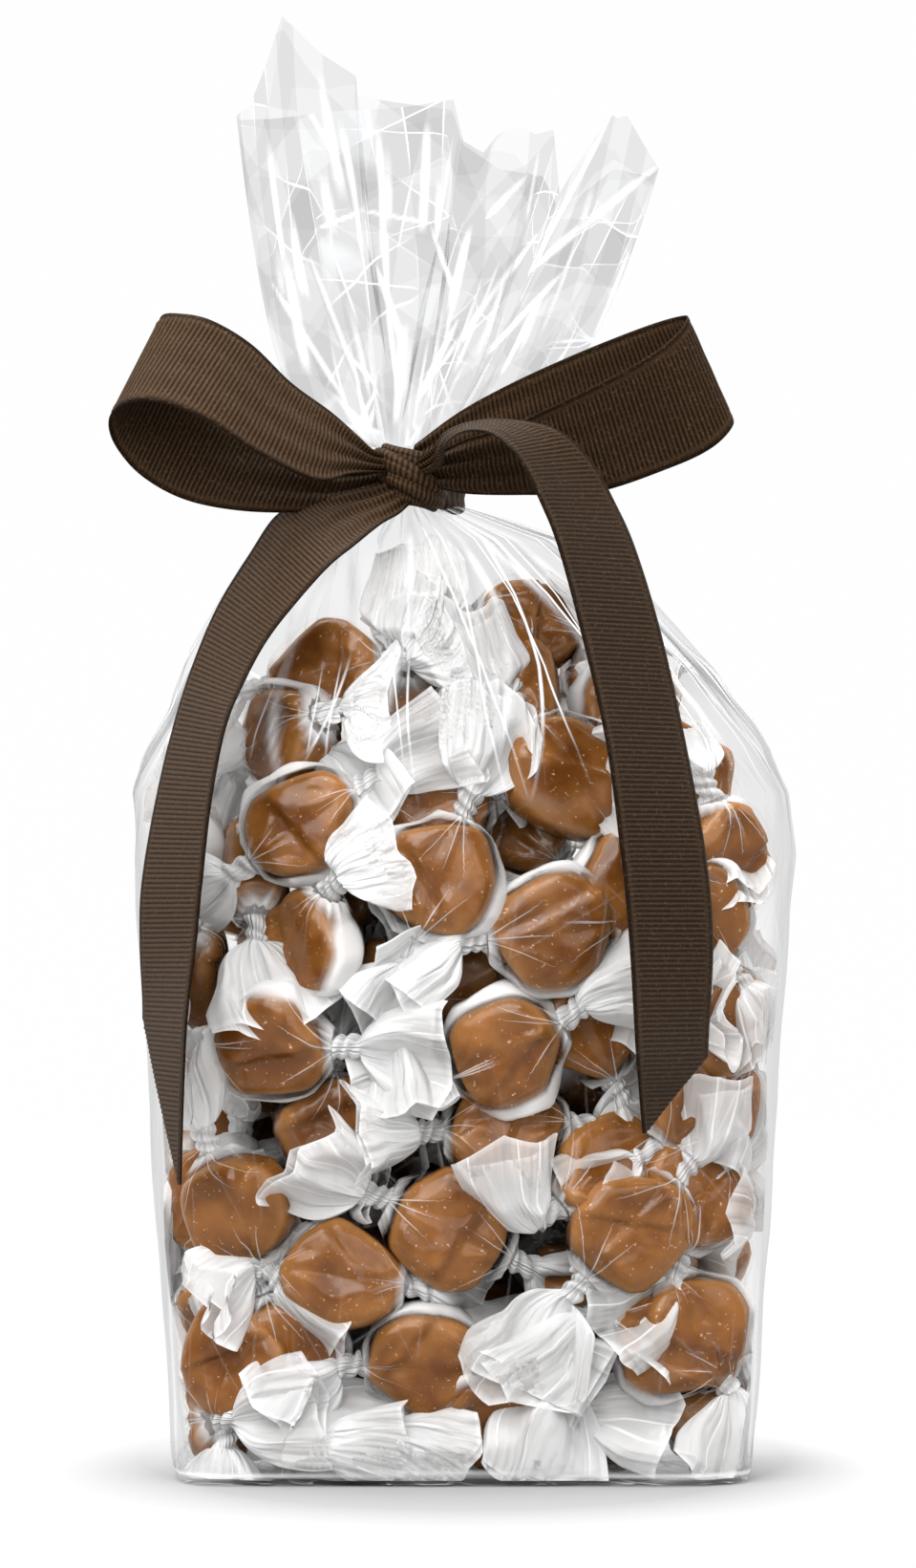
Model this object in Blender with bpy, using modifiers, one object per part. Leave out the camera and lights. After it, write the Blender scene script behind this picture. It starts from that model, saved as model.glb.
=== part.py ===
"""A clear gift bag filled with twist-wrapped caramels, gathered at the neck and tied with a ribbon bow.

Two real pieces: the sealed bag with what fills it, one solid out to the film, and the one length of
grosgrain ribbon that is wound round the neck, knotted, looped and left with two long tails.
Metres, +Z up. The origin is the middle of the flat base. The bow is on the -Y side.
"""

import math

import bmesh
import bpy
import numpy as np
from mathutils import Vector

# ---------------------------------------------------------------- driving dimensions

MM = 0.001
BASE_HALF_WIDTH = 62.0 * MM
BASE_HALF_DEPTH = 37.0 * MM
NECK = Vector((-11.8 * MM, 0.0, 229.6 * MM))
NECK_RADIUS = 7.6 * MM
RIBBON_THICKNESS = 0.9 * MM

# The filled body, from the base to the neck: height, half width, half depth, how far the middle has
# moved towards the neck (0 to 1), and how boxy the outline is (2 is an ellipse).
BODY_STATIONS = (
    (0.0, 62.0, 37.0, 0.00, 9.0),
    (3.0, 63.2, 38.6, 0.00, 8.0),
    (14.0, 64.4, 41.0, 0.00, 6.5),
    (55.0, 67.4, 45.0, 0.00, 5.0),
    (100.0, 70.2, 47.0, 0.00, 4.5),
    (138.0, 73.2, 46.5, 0.00, 4.2),
    (152.0, 72.6, 44.0, 0.03, 3.8),
    (162.0, 68.4, 40.0, 0.10, 3.2),
    (180.0, 57.0, 33.0, 0.30, 2.8),
    (196.0, 45.6, 26.0, 0.60, 2.5),
    (208.5, 33.5, 18.0, 0.88, 2.3),
    (214.5, 17.0, 12.0, 1.00, 2.0),
    (217.0, 8.2, 8.2, 1.00, 2.0),
    (229.6, 7.6, 7.6, 1.00, 2.0),
)
SIDE_BOW = 0.015
PLEATS = 16
PLEAT_DEPTH = 0.13
SHOULDER_HEIGHT = 150.0 * MM

# The mouth of the bag above the tie, seen from the front: (x, height) along the torn-looking crown,
# from its left edge to its right edge, with the two notches between its three leaves.
MOUTH_OUTLINE = (
    (-51.0, 303.0),
    (-47.5, 308.0),
    (-41.0, 326.0),
    (-24.5, 314.0),
    (-23.0, 310.0),
    (-3.0, 306.5),
    (1.0, 297.0),
    (6.0, 297.5),
    (12.0, 300.0),
    (19.5, 299.5),
    (21.5, 284.0),
    (34.5, 302.5),
    (44.0, 292.0),
)
MOUTH_HALF_DEPTH = 19.0 * MM
MOUTH_DIP = 12.0 * MM
FLARE_PLEATS = 7
FLARE_PLEAT_DEPTH = 4.0 * MM

# Rows of the bag's surface that go to the base, the body, the flare and the roof over its mouth.
AROUND = 64
BASE_ROWS, BODY_ROWS, FLARE_ROWS, ROOF_ROWS = 3, 24, 10, 3

# Each stretch of ribbon is a run of cross lines, from the knot outwards. A cross line is the place of
# the ribbon's two edges, (x, y, z) of one and (x, y, z) of the other, in millimetres.
LOOP_LEFT = (
    ((-15.2, -18.5, 227.3), (-15.2, -18.5, 222.7)),
    ((-19.9, -21.5, 227.6), (-19.9, -23.5, 222.7)),
    ((-23.7, -24.5, 230.8), (-25.6, -29.5, 222.0)),
    ((-29.4, -28.0, 235.9), (-32.6, -37.0, 220.4)),
    ((-38.0, -32.0, 242.2), (-44.8, -44.0, 226.0)),
    ((-46.5, -35.5, 250.3), (-56.0, -47.5, 233.1)),
    ((-55.0, -37.0, 255.4), (-66.0, -47.0, 237.1)),
    ((-61.7, -36.5, 257.0), (-73.2, -44.5, 237.1)),
    ((-66.4, -34.5, 256.4), (-77.4, -39.5, 234.1)),
    ((-66.3, -30.5, 249.8), (-76.5, -34.5, 228.4)),
    ((-60.4, -26.0, 243.1), (-70.5, -32.0, 221.5)),
    ((-50.6, -22.0, 236.6), (-60.0, -30.0, 216.2)),
    ((-36.1, -20.0, 232.8), (-44.8, -28.0, 214.0)),
    ((-26.7, -19.0, 226.6), (-30.5, -23.0, 215.2)),
    ((-15.2, -16.5, 225.9), (-15.2, -16.5, 221.1)),
)
LOOP_RIGHT = (
    ((-10.8, -18.0, 227.3), (-10.8, -18.0, 220.5)),
    ((-6.0, -20.5, 227.6), (-6.0, -20.5, 219.6)),
    ((0.3, -25.0, 230.1), (1.3, -23.0, 218.1)),
    ((9.9, -29.5, 232.9), (13.3, -25.5, 217.8)),
    ((23.2, -34.0, 238.7), (29.1, -28.0, 218.3)),
    ((37.5, -36.5, 245.9), (45.3, -30.5, 223.5)),
    ((45.6, -35.0, 251.6), (54.8, -32.0, 228.0)),
    ((49.4, -32.0, 256.5), (59.5, -30.0, 233.3)),
    ((46.8, -29.0, 256.9), (57.0, -25.0, 236.1)),
    ((38.7, -27.5, 254.4), (47.0, -21.5, 232.9)),
    ((24.3, -25.0, 248.8), (30.7, -19.0, 227.2)),
    ((9.9, -22.0, 242.4), (13.8, -18.0, 222.9)),
    ((-0.7, -19.5, 236.6), (0.8, -17.5, 221.0)),
    ((-10.8, -15.5, 229.3), (-10.8, -15.5, 221.6)),
)
TAIL_LEFT = (
    ((-12.7, -18.0, 221.5), (-10.3, -19.0, 217.9)),
    ((-19.9, -21.0, 217.2), (-14.1, -24.0, 213.6)),
    ((-26.7, -22.5, 214.8), (-18.4, -28.5, 210.8)),
    ((-35.3, -23.5, 213.1), (-24.0, -35.5, 206.1)),
    ((-40.0, -23.0, 212.2), (-29.3, -41.0, 201.7)),
    ((-47.2, -24.4, 204.8), (-35.9, -44.6, 194.3)),
    ((-54.1, -26.9, 193.3), (-42.7, -48.1, 185.4)),
    ((-59.2, -29.5, 181.2), (-47.8, -51.5, 175.8)),
    ((-63.3, -32.3, 168.3), (-51.6, -54.7, 166.0)),
    ((-67.4, -35.0, 150.9), (-54.6, -57.0, 150.3)),
    ((-70.5, -36.9, 132.0), (-56.6, -58.1, 132.3)),
    ((-70.9, -36.6, 118.3), (-57.9, -58.4, 118.9)),
    ((-70.3, -36.0, 103.6), (-59.7, -59.0, 103.8)),
    ((-67.2, -43.5, 89.3), (-60.6, -56.5, 87.8)),
    ((-62.1, -52.0, 67.2), (-61.3, -54.0, 67.0)),
)
TAIL_RIGHT = (
    ((-10.8, -20.5, 225.7), (-10.8, -20.5, 221.9)),
    ((-6.6, -25.5, 228.7), (-5.7, -28.5, 224.0)),
    ((-2.6, -29.5, 232.2), (-4.5, -39.5, 228.4)),
    ((4.6, -34.5, 234.0), (-0.5, -49.5, 230.7)),
    ((13.1, -38.0, 233.4), (5.0, -56.0, 230.3)),
    ((21.2, -40.0, 231.0), (9.2, -60.0, 227.4)),
    ((27.9, -40.8, 224.7), (12.9, -61.2, 222.6)),
    ((33.2, -42.4, 215.2), (16.7, -61.6, 214.8)),
    ((37.6, -43.6, 205.1), (20.4, -62.4, 205.4)),
    ((42.9, -45.5, 187.4), (25.1, -63.5, 188.0)),
    ((48.3, -46.9, 163.4), (30.6, -65.1, 163.9)),
    ((52.6, -48.4, 139.4), (33.9, -65.6, 139.6)),
    ((54.3, -48.8, 119.7), (35.8, -66.2, 120.1)),
    ((53.3, -47.7, 96.1), (37.2, -67.3, 96.5)),
    ((46.0, -54.0, 87.1), (38.1, -63.0, 86.0)),
    ((39.4, -59.5, 78.4), (38.8, -60.5, 78.5)),
)
LOOP_ROWS, TAIL_ROWS, ACROSS = 44, 40, 4

KNOT_SIZE = Vector((14.0, 14.0, 13.5)) * MM
KNOT_CENTRE = Vector((-11.8, -16.2, 222.6)) * MM
COLLAR_INNER_RADIUS = 9.2 * MM
COLLAR_THICKNESS = 1.8 * MM
COLLAR_HEIGHT = 10.0 * MM


# ---------------------------------------------------------------- shared helpers


def clear_scene():
    for obj in list(bpy.data.objects):
        bpy.data.objects.remove(obj)


def collection(name):
    made = bpy.data.collections.new(name)
    bpy.context.scene.collection.children.link(made)
    return made


def material(name, colour, roughness):
    made = bpy.data.materials.new(name)
    made.use_nodes = True
    shader = made.node_tree.nodes["Principled BSDF"]
    shader.inputs["Base Color"].default_value = (*colour, 1.0)
    shader.inputs["Roughness"].default_value = roughness
    shader.inputs["Metallic"].default_value = 0.0
    return made


def object_of(bm, name, target, mat):
    mesh = bpy.data.meshes.new(name)
    bm.to_mesh(mesh)
    bm.free()
    mesh.materials.append(mat)
    mesh.shade_smooth()
    obj = bpy.data.objects.new(name, mesh)
    target.objects.link(obj)
    return obj


def smooth_run(stations, rows):
    """The stations' columns read at evenly spaced rows, on a Catmull-Rom curve through the stations."""
    points = np.array(stations, float)
    points = np.vstack([2 * points[0] - points[1], points, 2 * points[-1] - points[-2]])
    made = []
    for at in np.linspace(0, len(stations) - 1, rows):
        i = min(int(at), len(stations) - 2)
        t = at - i
        a, b, c, d = points[i : i + 4]
        made.append(
            0.5 * (2 * b + (c - a) * t + (2 * a - 5 * b + 4 * c - d) * t**2 + (3 * b - a - 3 * c + d) * t**3)
        )
    return np.array(made)


def read_at(stations, at):
    """The stations' other columns at a value of their first column, in straight steps."""
    table = np.array(stations, float)
    return [float(np.interp(at, table[:, 0], column)) for column in table.T[1:]]


# ---------------------------------------------------------------- the bag and what fills it


def body_point(height, turn):
    """A point of the filled body: a boxy ring that bulges with its sweets and pleats towards the neck."""
    half_width, half_depth, shift, boxy = read_at(BODY_STATIONS, height / MM)
    across, along = math.cos(turn), math.sin(turn)
    reach = (abs(across) ** boxy + abs(along) ** boxy) ** (-1.0 / boxy)
    reach *= 1.0 + SIDE_BOW * math.cos(2 * turn) ** 2
    gathered = max(0.0, (height - SHOULDER_HEIGHT) / (NECK.z - SHOULDER_HEIGHT))
    reach *= 1.0 - PLEAT_DEPTH * gathered * (0.5 + 0.5 * math.cos(PLEATS * turn))
    filled = math.sin(math.pi * min(1.0, height / SHOULDER_HEIGHT))
    bulge = 0.9 * filled * math.sin(5 * turn + height / MM / 9.0) * math.cos(3 * turn - height / MM / 13.0)
    return Vector(
        (
            NECK.x * shift + (half_width * reach + bulge * abs(across)) * MM * across,
            (half_depth * reach + bulge * abs(along)) * MM * along,
            height,
        )
    )


def mouth_point(turn):
    """The crown's edge: its outline read from left to right on both the front and the back."""
    left, right = MOUTH_OUTLINE[0][0], MOUTH_OUTLINE[-1][0]
    x = (left + right) / 2 + (right - left) / 2 * math.cos(turn)
    (height,) = read_at(MOUTH_OUTLINE, x)
    return Vector((x * MM, MOUTH_HALF_DEPTH * math.sin(turn), height * MM))


def flare_point(rise, turn):
    """A point of the gathered film above the tie. Outer columns leave the neck flat and then stand up."""
    mouth = mouth_point(turn)
    reach = (NECK.x - mouth_point(math.pi).x) if mouth.x < NECK.x else (mouth_point(0.0).x - NECK.x)
    share = abs(mouth.x - NECK.x) / reach
    sideways = rise ** (1.0 - (0.74 if mouth.x < NECK.x else 0.62) * share**2)
    neck_x = NECK.x + NECK_RADIUS * math.cos(turn)
    neck_y = NECK_RADIUS * math.sin(turn)
    pleat = FLARE_PLEAT_DEPTH * math.sin(math.pi * rise) * math.cos(FLARE_PLEATS * turn)
    return Vector(
        (
            neck_x + (mouth.x - neck_x) * sideways,
            neck_y + (mouth.y - neck_y) * rise + pleat * math.sin(turn),
            NECK.z + (mouth.z - NECK.z) * rise,
        )
    )


def roof_point(inward, turn):
    """The shallow dip that closes the crown between its front and its back."""
    edge = mouth_point(turn)
    middle = Vector((NECK.x, 0.0, 0.0))
    made = edge.lerp(middle, inward)
    made.z = edge.z + (read_at(MOUTH_OUTLINE, NECK.x / MM)[0] * MM - MOUTH_DIP - edge.z) * inward
    return made


def bag_point(row, turn):
    if row <= BASE_ROWS:
        flat = body_point(0.0, turn)
        return flat * (row / BASE_ROWS)
    row -= BASE_ROWS
    if row <= BODY_ROWS:
        share = row / BODY_ROWS
        return body_point(NECK.z * (0.62 * share + 0.38 * math.sin(share * math.pi / 2)), turn)
    row -= BODY_ROWS
    if row <= FLARE_ROWS:
        return flare_point(row / FLARE_ROWS, turn)
    return roof_point((row - FLARE_ROWS) / ROOF_ROWS, turn)


def make_bag(target):
    """The sealed bag and its sweets as one solid: a sphere's rings moved out to the bag's surface."""
    rows = BASE_ROWS + BODY_ROWS + FLARE_ROWS + ROOF_ROWS
    bm = bmesh.new()
    bmesh.ops.create_uvsphere(bm, u_segments=AROUND, v_segments=rows, radius=1.0)
    for vert in bm.verts:
        row = round((1.0 - math.acos(max(-1.0, min(1.0, vert.co.z))) / math.pi) * rows)
        vert.co = bag_point(row, math.atan2(vert.co.y, vert.co.x))
    bag = object_of(bm, "candy_bag", target, material("bag_fill", (0.80, 0.70, 0.62), 0.25))
    bag.data.set_sharp_from_angle(angle=math.radians(50))
    return bag


# ---------------------------------------------------------------- the ribbon


def ribbon_strip(name, stations, rows, target, mat):
    """A stretch of ribbon: an open grid laid between its two edges, given the ribbon's thickness."""
    edges = smooth_run([(*a, *b) for a, b in stations], rows) * MM
    bm = bmesh.new()
    bmesh.ops.create_grid(bm, x_segments=rows - 1, y_segments=ACROSS, size=1.0)
    for vert in bm.verts:
        row = round((vert.co.x + 1.0) / 2.0 * (rows - 1))
        one, other = Vector(edges[row, :3]), Vector(edges[row, 3:])
        vert.co = one.lerp(other, (vert.co.y + 1.0) / 2.0)
    strip = object_of(bm, name, target, mat)
    wall = strip.modifiers.new("thickness", "SOLIDIFY")
    wall.thickness = RIBBON_THICKNESS
    wall.offset = 0.0
    return strip


def collar(target, mat):
    """The turn of ribbon round the neck, bunched to less than half its width."""
    bm = bmesh.new()
    bmesh.ops.create_cone(
        bm,
        segments=32,
        radius1=COLLAR_INNER_RADIUS + COLLAR_THICKNESS / 2,
        radius2=COLLAR_INNER_RADIUS + COLLAR_THICKNESS / 2,
        depth=COLLAR_HEIGHT,
        cap_ends=False,
    )
    band = object_of(bm, "collar", target, mat)
    band.location = (NECK.x, 0.0, KNOT_CENTRE.z + 1.0 * MM)
    wall = band.modifiers.new("thickness", "SOLIDIFY")
    wall.thickness = COLLAR_THICKNESS
    wall.offset = 0.0
    return band


def knot(target, mat):
    """The knot: a rounded block with the creases of the ribbon that crosses it."""
    bm = bmesh.new()
    bmesh.ops.create_uvsphere(bm, u_segments=24, v_segments=14, radius=1.0)
    for vert in bm.verts:
        away = vert.co.copy()
        crease = 1.0 - 0.07 * (0.5 + 0.5 * math.cos(7.0 * away.x + 3.0 * away.z))
        reach = (abs(away.x) ** 3 + abs(away.y) ** 3 + abs(away.z) ** 3) ** (-1.0 / 3.0)
        away *= reach * crease * (1.0 - 0.12 * away.z * away.x)
        vert.co = Vector((away.x * KNOT_SIZE.x, away.y * KNOT_SIZE.y, away.z * KNOT_SIZE.z)) / 2.0
    lump = object_of(bm, "knot", target, mat)
    lump.location = KNOT_CENTRE
    return lump


def make_ribbon(target, helpers):
    """One length of ribbon, so its collar, knot, loops and tails are joined into one solid."""
    mat = material("grosgrain", (0.045, 0.030, 0.020), 0.62)
    joined = [
        collar(helpers, mat),
        ribbon_strip("loop_left", LOOP_LEFT, LOOP_ROWS, helpers, mat),
        ribbon_strip("loop_right", LOOP_RIGHT, LOOP_ROWS, helpers, mat),
        ribbon_strip("tail_left", TAIL_LEFT, TAIL_ROWS, helpers, mat),
        ribbon_strip("tail_right", TAIL_RIGHT, TAIL_ROWS, helpers, mat),
    ]
    bow = knot(target, mat)
    bow.name = "ribbon_bow"
    for piece in joined:
        piece.hide_render = True
        piece.display_type = "WIRE"
        join = bow.modifiers.new("join_" + piece.name, "BOOLEAN")
        join.operation = "UNION"
        join.object = piece
    return bow


def main():
    clear_scene()
    parts = collection("caramel_gift_bag")
    helpers = collection("ribbon_stretches")
    make_bag(parts)
    make_ribbon(parts, helpers)


main()
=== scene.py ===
"""A clear film gift bag full of caramels twisted into waxed paper, gathered at the neck and tied with a
brown grosgrain ribbon bow. Lengths inside the sections are millimetres, and meshes are written in metres.
"""

import math

import bpy
import numpy as np
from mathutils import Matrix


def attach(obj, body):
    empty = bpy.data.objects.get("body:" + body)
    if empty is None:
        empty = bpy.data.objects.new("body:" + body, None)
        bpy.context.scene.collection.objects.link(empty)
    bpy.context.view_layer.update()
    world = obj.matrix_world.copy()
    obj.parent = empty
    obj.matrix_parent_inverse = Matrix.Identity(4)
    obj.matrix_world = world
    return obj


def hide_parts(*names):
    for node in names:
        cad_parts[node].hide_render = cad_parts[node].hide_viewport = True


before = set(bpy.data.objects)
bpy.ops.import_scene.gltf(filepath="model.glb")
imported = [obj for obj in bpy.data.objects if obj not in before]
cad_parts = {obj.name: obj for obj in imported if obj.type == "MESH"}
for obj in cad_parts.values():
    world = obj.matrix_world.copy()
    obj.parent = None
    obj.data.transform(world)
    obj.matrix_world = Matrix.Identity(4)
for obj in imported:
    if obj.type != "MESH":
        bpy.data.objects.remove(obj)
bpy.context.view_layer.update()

# ================================================================ the caramels
# Soft milk caramels, each pressed into a thick round disc about an inch across, so no two are alike.
# They lie loose in the bag. The ones behind the clear front are placed one by one, and the rest fill
# the bag behind and beside them, pushed apart until each has its own room.

# The room inside the bag: height, half width, half depth, how far its middle has moved towards the neck
# (0 to 1) and how boxy its outline is (2 is an ellipse).
BAG_ROOM = np.array(
    (
        (0.0, 62.6, 37.6, 0.00, 8.0),
        (3.0, 63.6, 39.0, 0.00, 7.5),
        (14.0, 64.8, 41.4, 0.00, 6.5),
        (55.0, 67.8, 45.2, 0.00, 5.0),
        (100.0, 70.4, 47.0, 0.00, 4.5),
        (138.0, 73.2, 46.6, 0.00, 4.2),
        (152.0, 72.8, 44.2, 0.03, 3.8),
        (162.0, 68.6, 40.2, 0.10, 3.2),
        (180.0, 57.2, 33.2, 0.30, 2.8),
        (196.0, 45.8, 26.2, 0.60, 2.5),
        (208.5, 33.6, 18.2, 0.88, 2.3),
        (214.5, 17.2, 12.2, 1.00, 2.0),
        (217.0, 8.3, 8.3, 1.00, 2.0),
        (229.6, 7.8, 7.8, 1.00, 2.0),
    )
)
NECK_X, NECK_TOP = -11.8, 229.6

# The front caramels: x, height, how deep behind the film's front, radius, half thickness, turn of the
# face to the side and up (degrees), how much paper hides the face (0 to 1), then for each of the two
# twisted ends: direction of the rope and of the fan seen from the front (degrees, 0 to the right, 90
# up), how far the fan leans to the front (degrees) and its length.
FRONT = np.array(
    (
        (-35.0, 144.6, 10, 12.6, 7.5, -6, 6, 0.11, 34, 30, 14, 17, 215, 205, -30, 12),
        (-5.7, 133.1, 8, 13.2, 7.4, 4, 4, 0.10, 68, 72, 16, 19, 250, 236, 8, 13),
        (9.4, 95.4, 8, 12.6, 7.2, -5, -3, 0.10, 50, 18, 14, 17, 181, 196, 14, 13),
        (-3.1, 56.0, 10, 13.6, 7.6, 4, 2, 0.06, 160, 152, 30, 18, -30, -40, -40, 12),
        (-27.6, 45.6, 7, 12.8, 7.2, -6, 8, 0.06, 186, 214, 26, 16, -20, -24, -50, 12),
        (17.8, 187.6, 6, 11.6, 7.4, 14, 30, 0.20, 196, 186, 6, 13, -50, -30, 10, 13),
        (10.5, 174.6, 10, 12.4, 7.4, -10, 16, 0.25, 140, 130, -10, 12, -40, -20, 20, 13),
        (-31.5, 178.1, 9, 12.2, 7.2, -16, 12, 0.25, 14, 36, 48, 17, 186, 186, -10, 11),
        (-47.0, 164.1, 9, 12.8, 7.0, -58, 4, 0.15, 20, 4, 60, 15, 200, 240, 0, 12),
        (24.7, 155.1, 8, 14.2, 8.4, 18, 8, 0.30, 128, 110, -20, 13, -64, -76, 6, 13),
        (48.0, 170.3, 10, 12.0, 7.0, 20, 18, 0.15, 40, 30, -10, 12, 220, 240, 0, 12),
        (57.6, 156.5, 9, 12.2, 7.2, 24, 6, 0.15, -66, -74, 52, 14, 120, 120, -20, 11),
        (63.4, 137.2, 13, 12.4, 7.0, 38, -4, 0.15, 118, 104, -10, 11, -92, -100, 6, 13),
        (54.6, 124.8, 9, 12.2, 7.0, 16, -6, 0.20, -50, -64, 14, 14, 120, 110, -20, 11),
        (-33.5, 118.4, 11, 12.4, 7.0, -50, -6, 0.25, 34, 30, 48, 16, 264, 300, -70, 8),
        (19.5, 121.5, 9, 13.6, 7.6, 8, 4, 0.30, 186, 214, 12, 14, 8, -20, -30, 12),
        (-43.4, 96.8, 9, 12.6, 7.6, -10, -10, 0.25, 2, -8, 16, 16, 172, 140, 8, 15),
        (-29.3, 76.5, 15, 12.4, 7.2, 12, 6, 0.20, 96, 84, -20, 11, 258, 250, 8, 12),
        (9.4, 78.0, 12, 12.8, 7.2, 4, 18, 0.20, 182, 180, 36, 15, 2, 18, -24, 12),
        (-50.3, 60.4, 11, 12.6, 7.2, -22, -8, 0.20, 102, 112, 26, 17, -50, -34, 10, 13),
        (31.5, 69.0, 13, 12.8, 7.4, 16, 14, 0.22, 214, 112, 22, 16, 34, 30, -30, 12),
        (37.9, 56.0, 7, 13.6, 7.6, 6, 2, 0.14, 54, 80, 12, 16, 220, 244, 14, 19),
        (58.9, 63.9, 11, 12.8, 7.2, 26, 2, 0.15, 248, 214, 12, 15, 84, 80, -20, 12),
        (61.4, 83.6, 13, 12.8, 7.2, 24, -4, 0.20, 206, 214, 12, 14, 60, 70, -10, 12),
        (60.2, 102.0, 15, 12.4, 7.2, 30, 4, 0.25, 112, 104, 12, 15, 262, 250, 10, 13),
        (-54.0, 27.3, 11, 12.8, 7.2, -26, 4, 0.14, 70, 60, 0, 12, -86, -96, 16, 15),
        (-38.6, 29.4, 13, 12.4, 7.2, 6, -8, 0.20, -62, -84, 22, 16, 110, 104, -10, 11),
        (-7.8, 26.8, 9, 13.0, 7.4, 0, -6, 0.62, 196, 218, 18, 17, -12, -26, 14, 15),
        (7.0, 13.6, 11, 12.4, 7.4, 4, -24, 0.40, 184, 190, 10, 14, 2, -4, 14, 16),
        (44.4, 31.0, 12, 12.4, 7.2, 10, -4, 0.22, 206, 222, 24, 18, -78, -92, 18, 15),
        (58.7, 33.5, 10, 13.0, 7.4, 26, -2, 0.12, 118, 150, 12, 15, -60, -80, 8, 13),
        (-6.3, 149.8, 15, 12.2, 7.2, 0, 16, 0.20, 160, 170, -10, 12, 20, 40, -10, 12),
        (27.5, 101.6, 16, 12.8, 7.4, 6, 0, 0.15, 118, 130, -10, 12, -70, -60, 0, 13),
        (36.4, 131.0, 14, 13.0, 7.4, 14, 4, 0.10, 100, 90, -10, 12, -80, -96, 6, 13),
        (-68.0, 137.0, 38, 12.2, 7.0, -70, 0, 0.10, 80, 70, 10, 12, 250, 260, 0, 12),
        (-36.0, 166.0, 26, 12.2, 7.0, -84, 6, 0.20, -30, -60, 34, 16, 180, 180, -60, 11),
        (-46.0, 134.0, 25, 12.4, 7.0, -88, 0, 0.20, -90, -70, 30, 17, 180, 180, -60, 11),
        (-60.0, 112.0, 25, 12.4, 7.0, -96, 0, 0.20, 100, 130, 28, 16, 180, 180, -60, 11),
        (-16.0, 108.0, 25, 12.4, 7.0, -88, 0, 0.20, -60, -80, 30, 14, 180, 180, -60, 11),
        (-54.0, 14.0, 24, 12.2, 7.0, -92, 0, 0.20, 0, 10, 30, 15, 180, 180, -60, 11),
        (-38.0, 13.0, 22, 12.0, 7.0, -80, -10, 0.20, -20, -10, 26, 17, 180, 180, -60, 11),
        (-20.0, 12.5, 22, 12.0, 7.0, -90, 6, 0.20, -14, -24, 24, 16, 180, 180, -60, 11),
        (34.0, 13.5, 22, 12.0, 7.0, -90, 0, 0.20, 180, 196, 26, 20, 180, 180, -60, 11),
        (52.0, 15.5, 23, 12.0, 7.0, -86, 0, 0.20, -90, -84, 26, 16, 180, 180, -60, 11),
        (22.0, 40.0, 22, 12.4, 7.0, -90, 0, 0.20, 250, 262, 24, 22, 180, 180, -60, 11),
        (46.0, 92.0, 24, 12.4, 7.0, -86, 0, 0.20, 40, 20, 30, 16, 180, 180, -60, 11),
        (1.0, 112.0, 26, 12.2, 7.0, -90, 0, 0.20, 150, 190, 34, 15, 180, 180, -60, 11),
        (2.0, 161.0, 24, 12.2, 7.0, -92, 8, 0.20, 70, 96, 34, 18, 180, 180, -60, 11),
        (-14.0, 170.0, 23, 12.2, 7.0, -90, 10, 0.20, 100, 84, 30, 20, 180, 180, -60, 11),
        (12.5, 145.5, 25, 12.2, 7.0, -12, 12, 0.20, 150, 120, 10, 13, -60, -40, 10, 12),
        (29.0, 176.0, 24, 12.2, 7.0, -84, 10, 0.20, 30, 60, 20, 15, 180, 180, -60, 11),
    )
)
LOOSE_COUNT = 60
chance = np.random.default_rng(29)


def room_at(height):
    """The room's half width, half depth, middle and boxiness at each height, in straight steps."""
    half_width, half_depth, shift, boxy = (np.interp(height, BAG_ROOM[:, 0], BAG_ROOM[:, k]) for k in (1, 2, 3, 4))
    return half_width, half_depth, shift * NECK_X, boxy


def keep_inside(points, gap):
    """Each point that is nearer the film than the gap is pulled straight in towards the room's middle line.

    Its share is (|x/w|^b + |y/d|^b)^(1/b) with w and d the half width and half depth less the gap; a
    share over 1 is outside, and dividing by it lands the point on the film.
    """
    x, y, z = points[..., 0], points[..., 1], np.clip(points[..., 2], gap, NECK_TOP)
    half_width, half_depth, middle, boxy = room_at(z)
    w, d = np.maximum(half_width - gap, 1.0), np.maximum(half_depth - gap, 1.0)
    share = (np.abs((x - middle) / w) ** boxy + np.abs(y / d) ** boxy) ** (1.0 / boxy)
    pull = 1.0 / np.maximum(share, 1.0)
    return np.stack([middle + (x - middle) * pull, y * pull, z], -1)


def settle(fixed, loose, reach, gap, highest, rounds=260):
    """Loose caramels pushed apart: each pair nearer than reach moves apart by half of what is missing.

    They sink a little at each round. Nearer the middle than 52 mm they stay behind the placed ones.
    """
    for _ in range(rounds):
        everyone = np.vstack([fixed, loose])
        away = loose[:, None] - everyone[None]
        length = np.linalg.norm(away, axis=-1) + 1e-9
        missing = np.clip(reach - length, 0.0, None) * (length > 1e-6)
        loose = loose + 0.42 * (away / length[..., None] * missing[..., None]).sum(1)
        loose[:, 2] -= 0.12
        loose[:, 2] = np.clip(loose[:, 2], 12.0, highest - 0.0045 * loose[:, 0] ** 2)
        loose = keep_inside(loose, gap)
        loose[:, 1] = np.maximum(loose[:, 1], np.where(np.abs(loose[:, 0]) < 52, -11.0, -60.0))
    return loose


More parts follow.
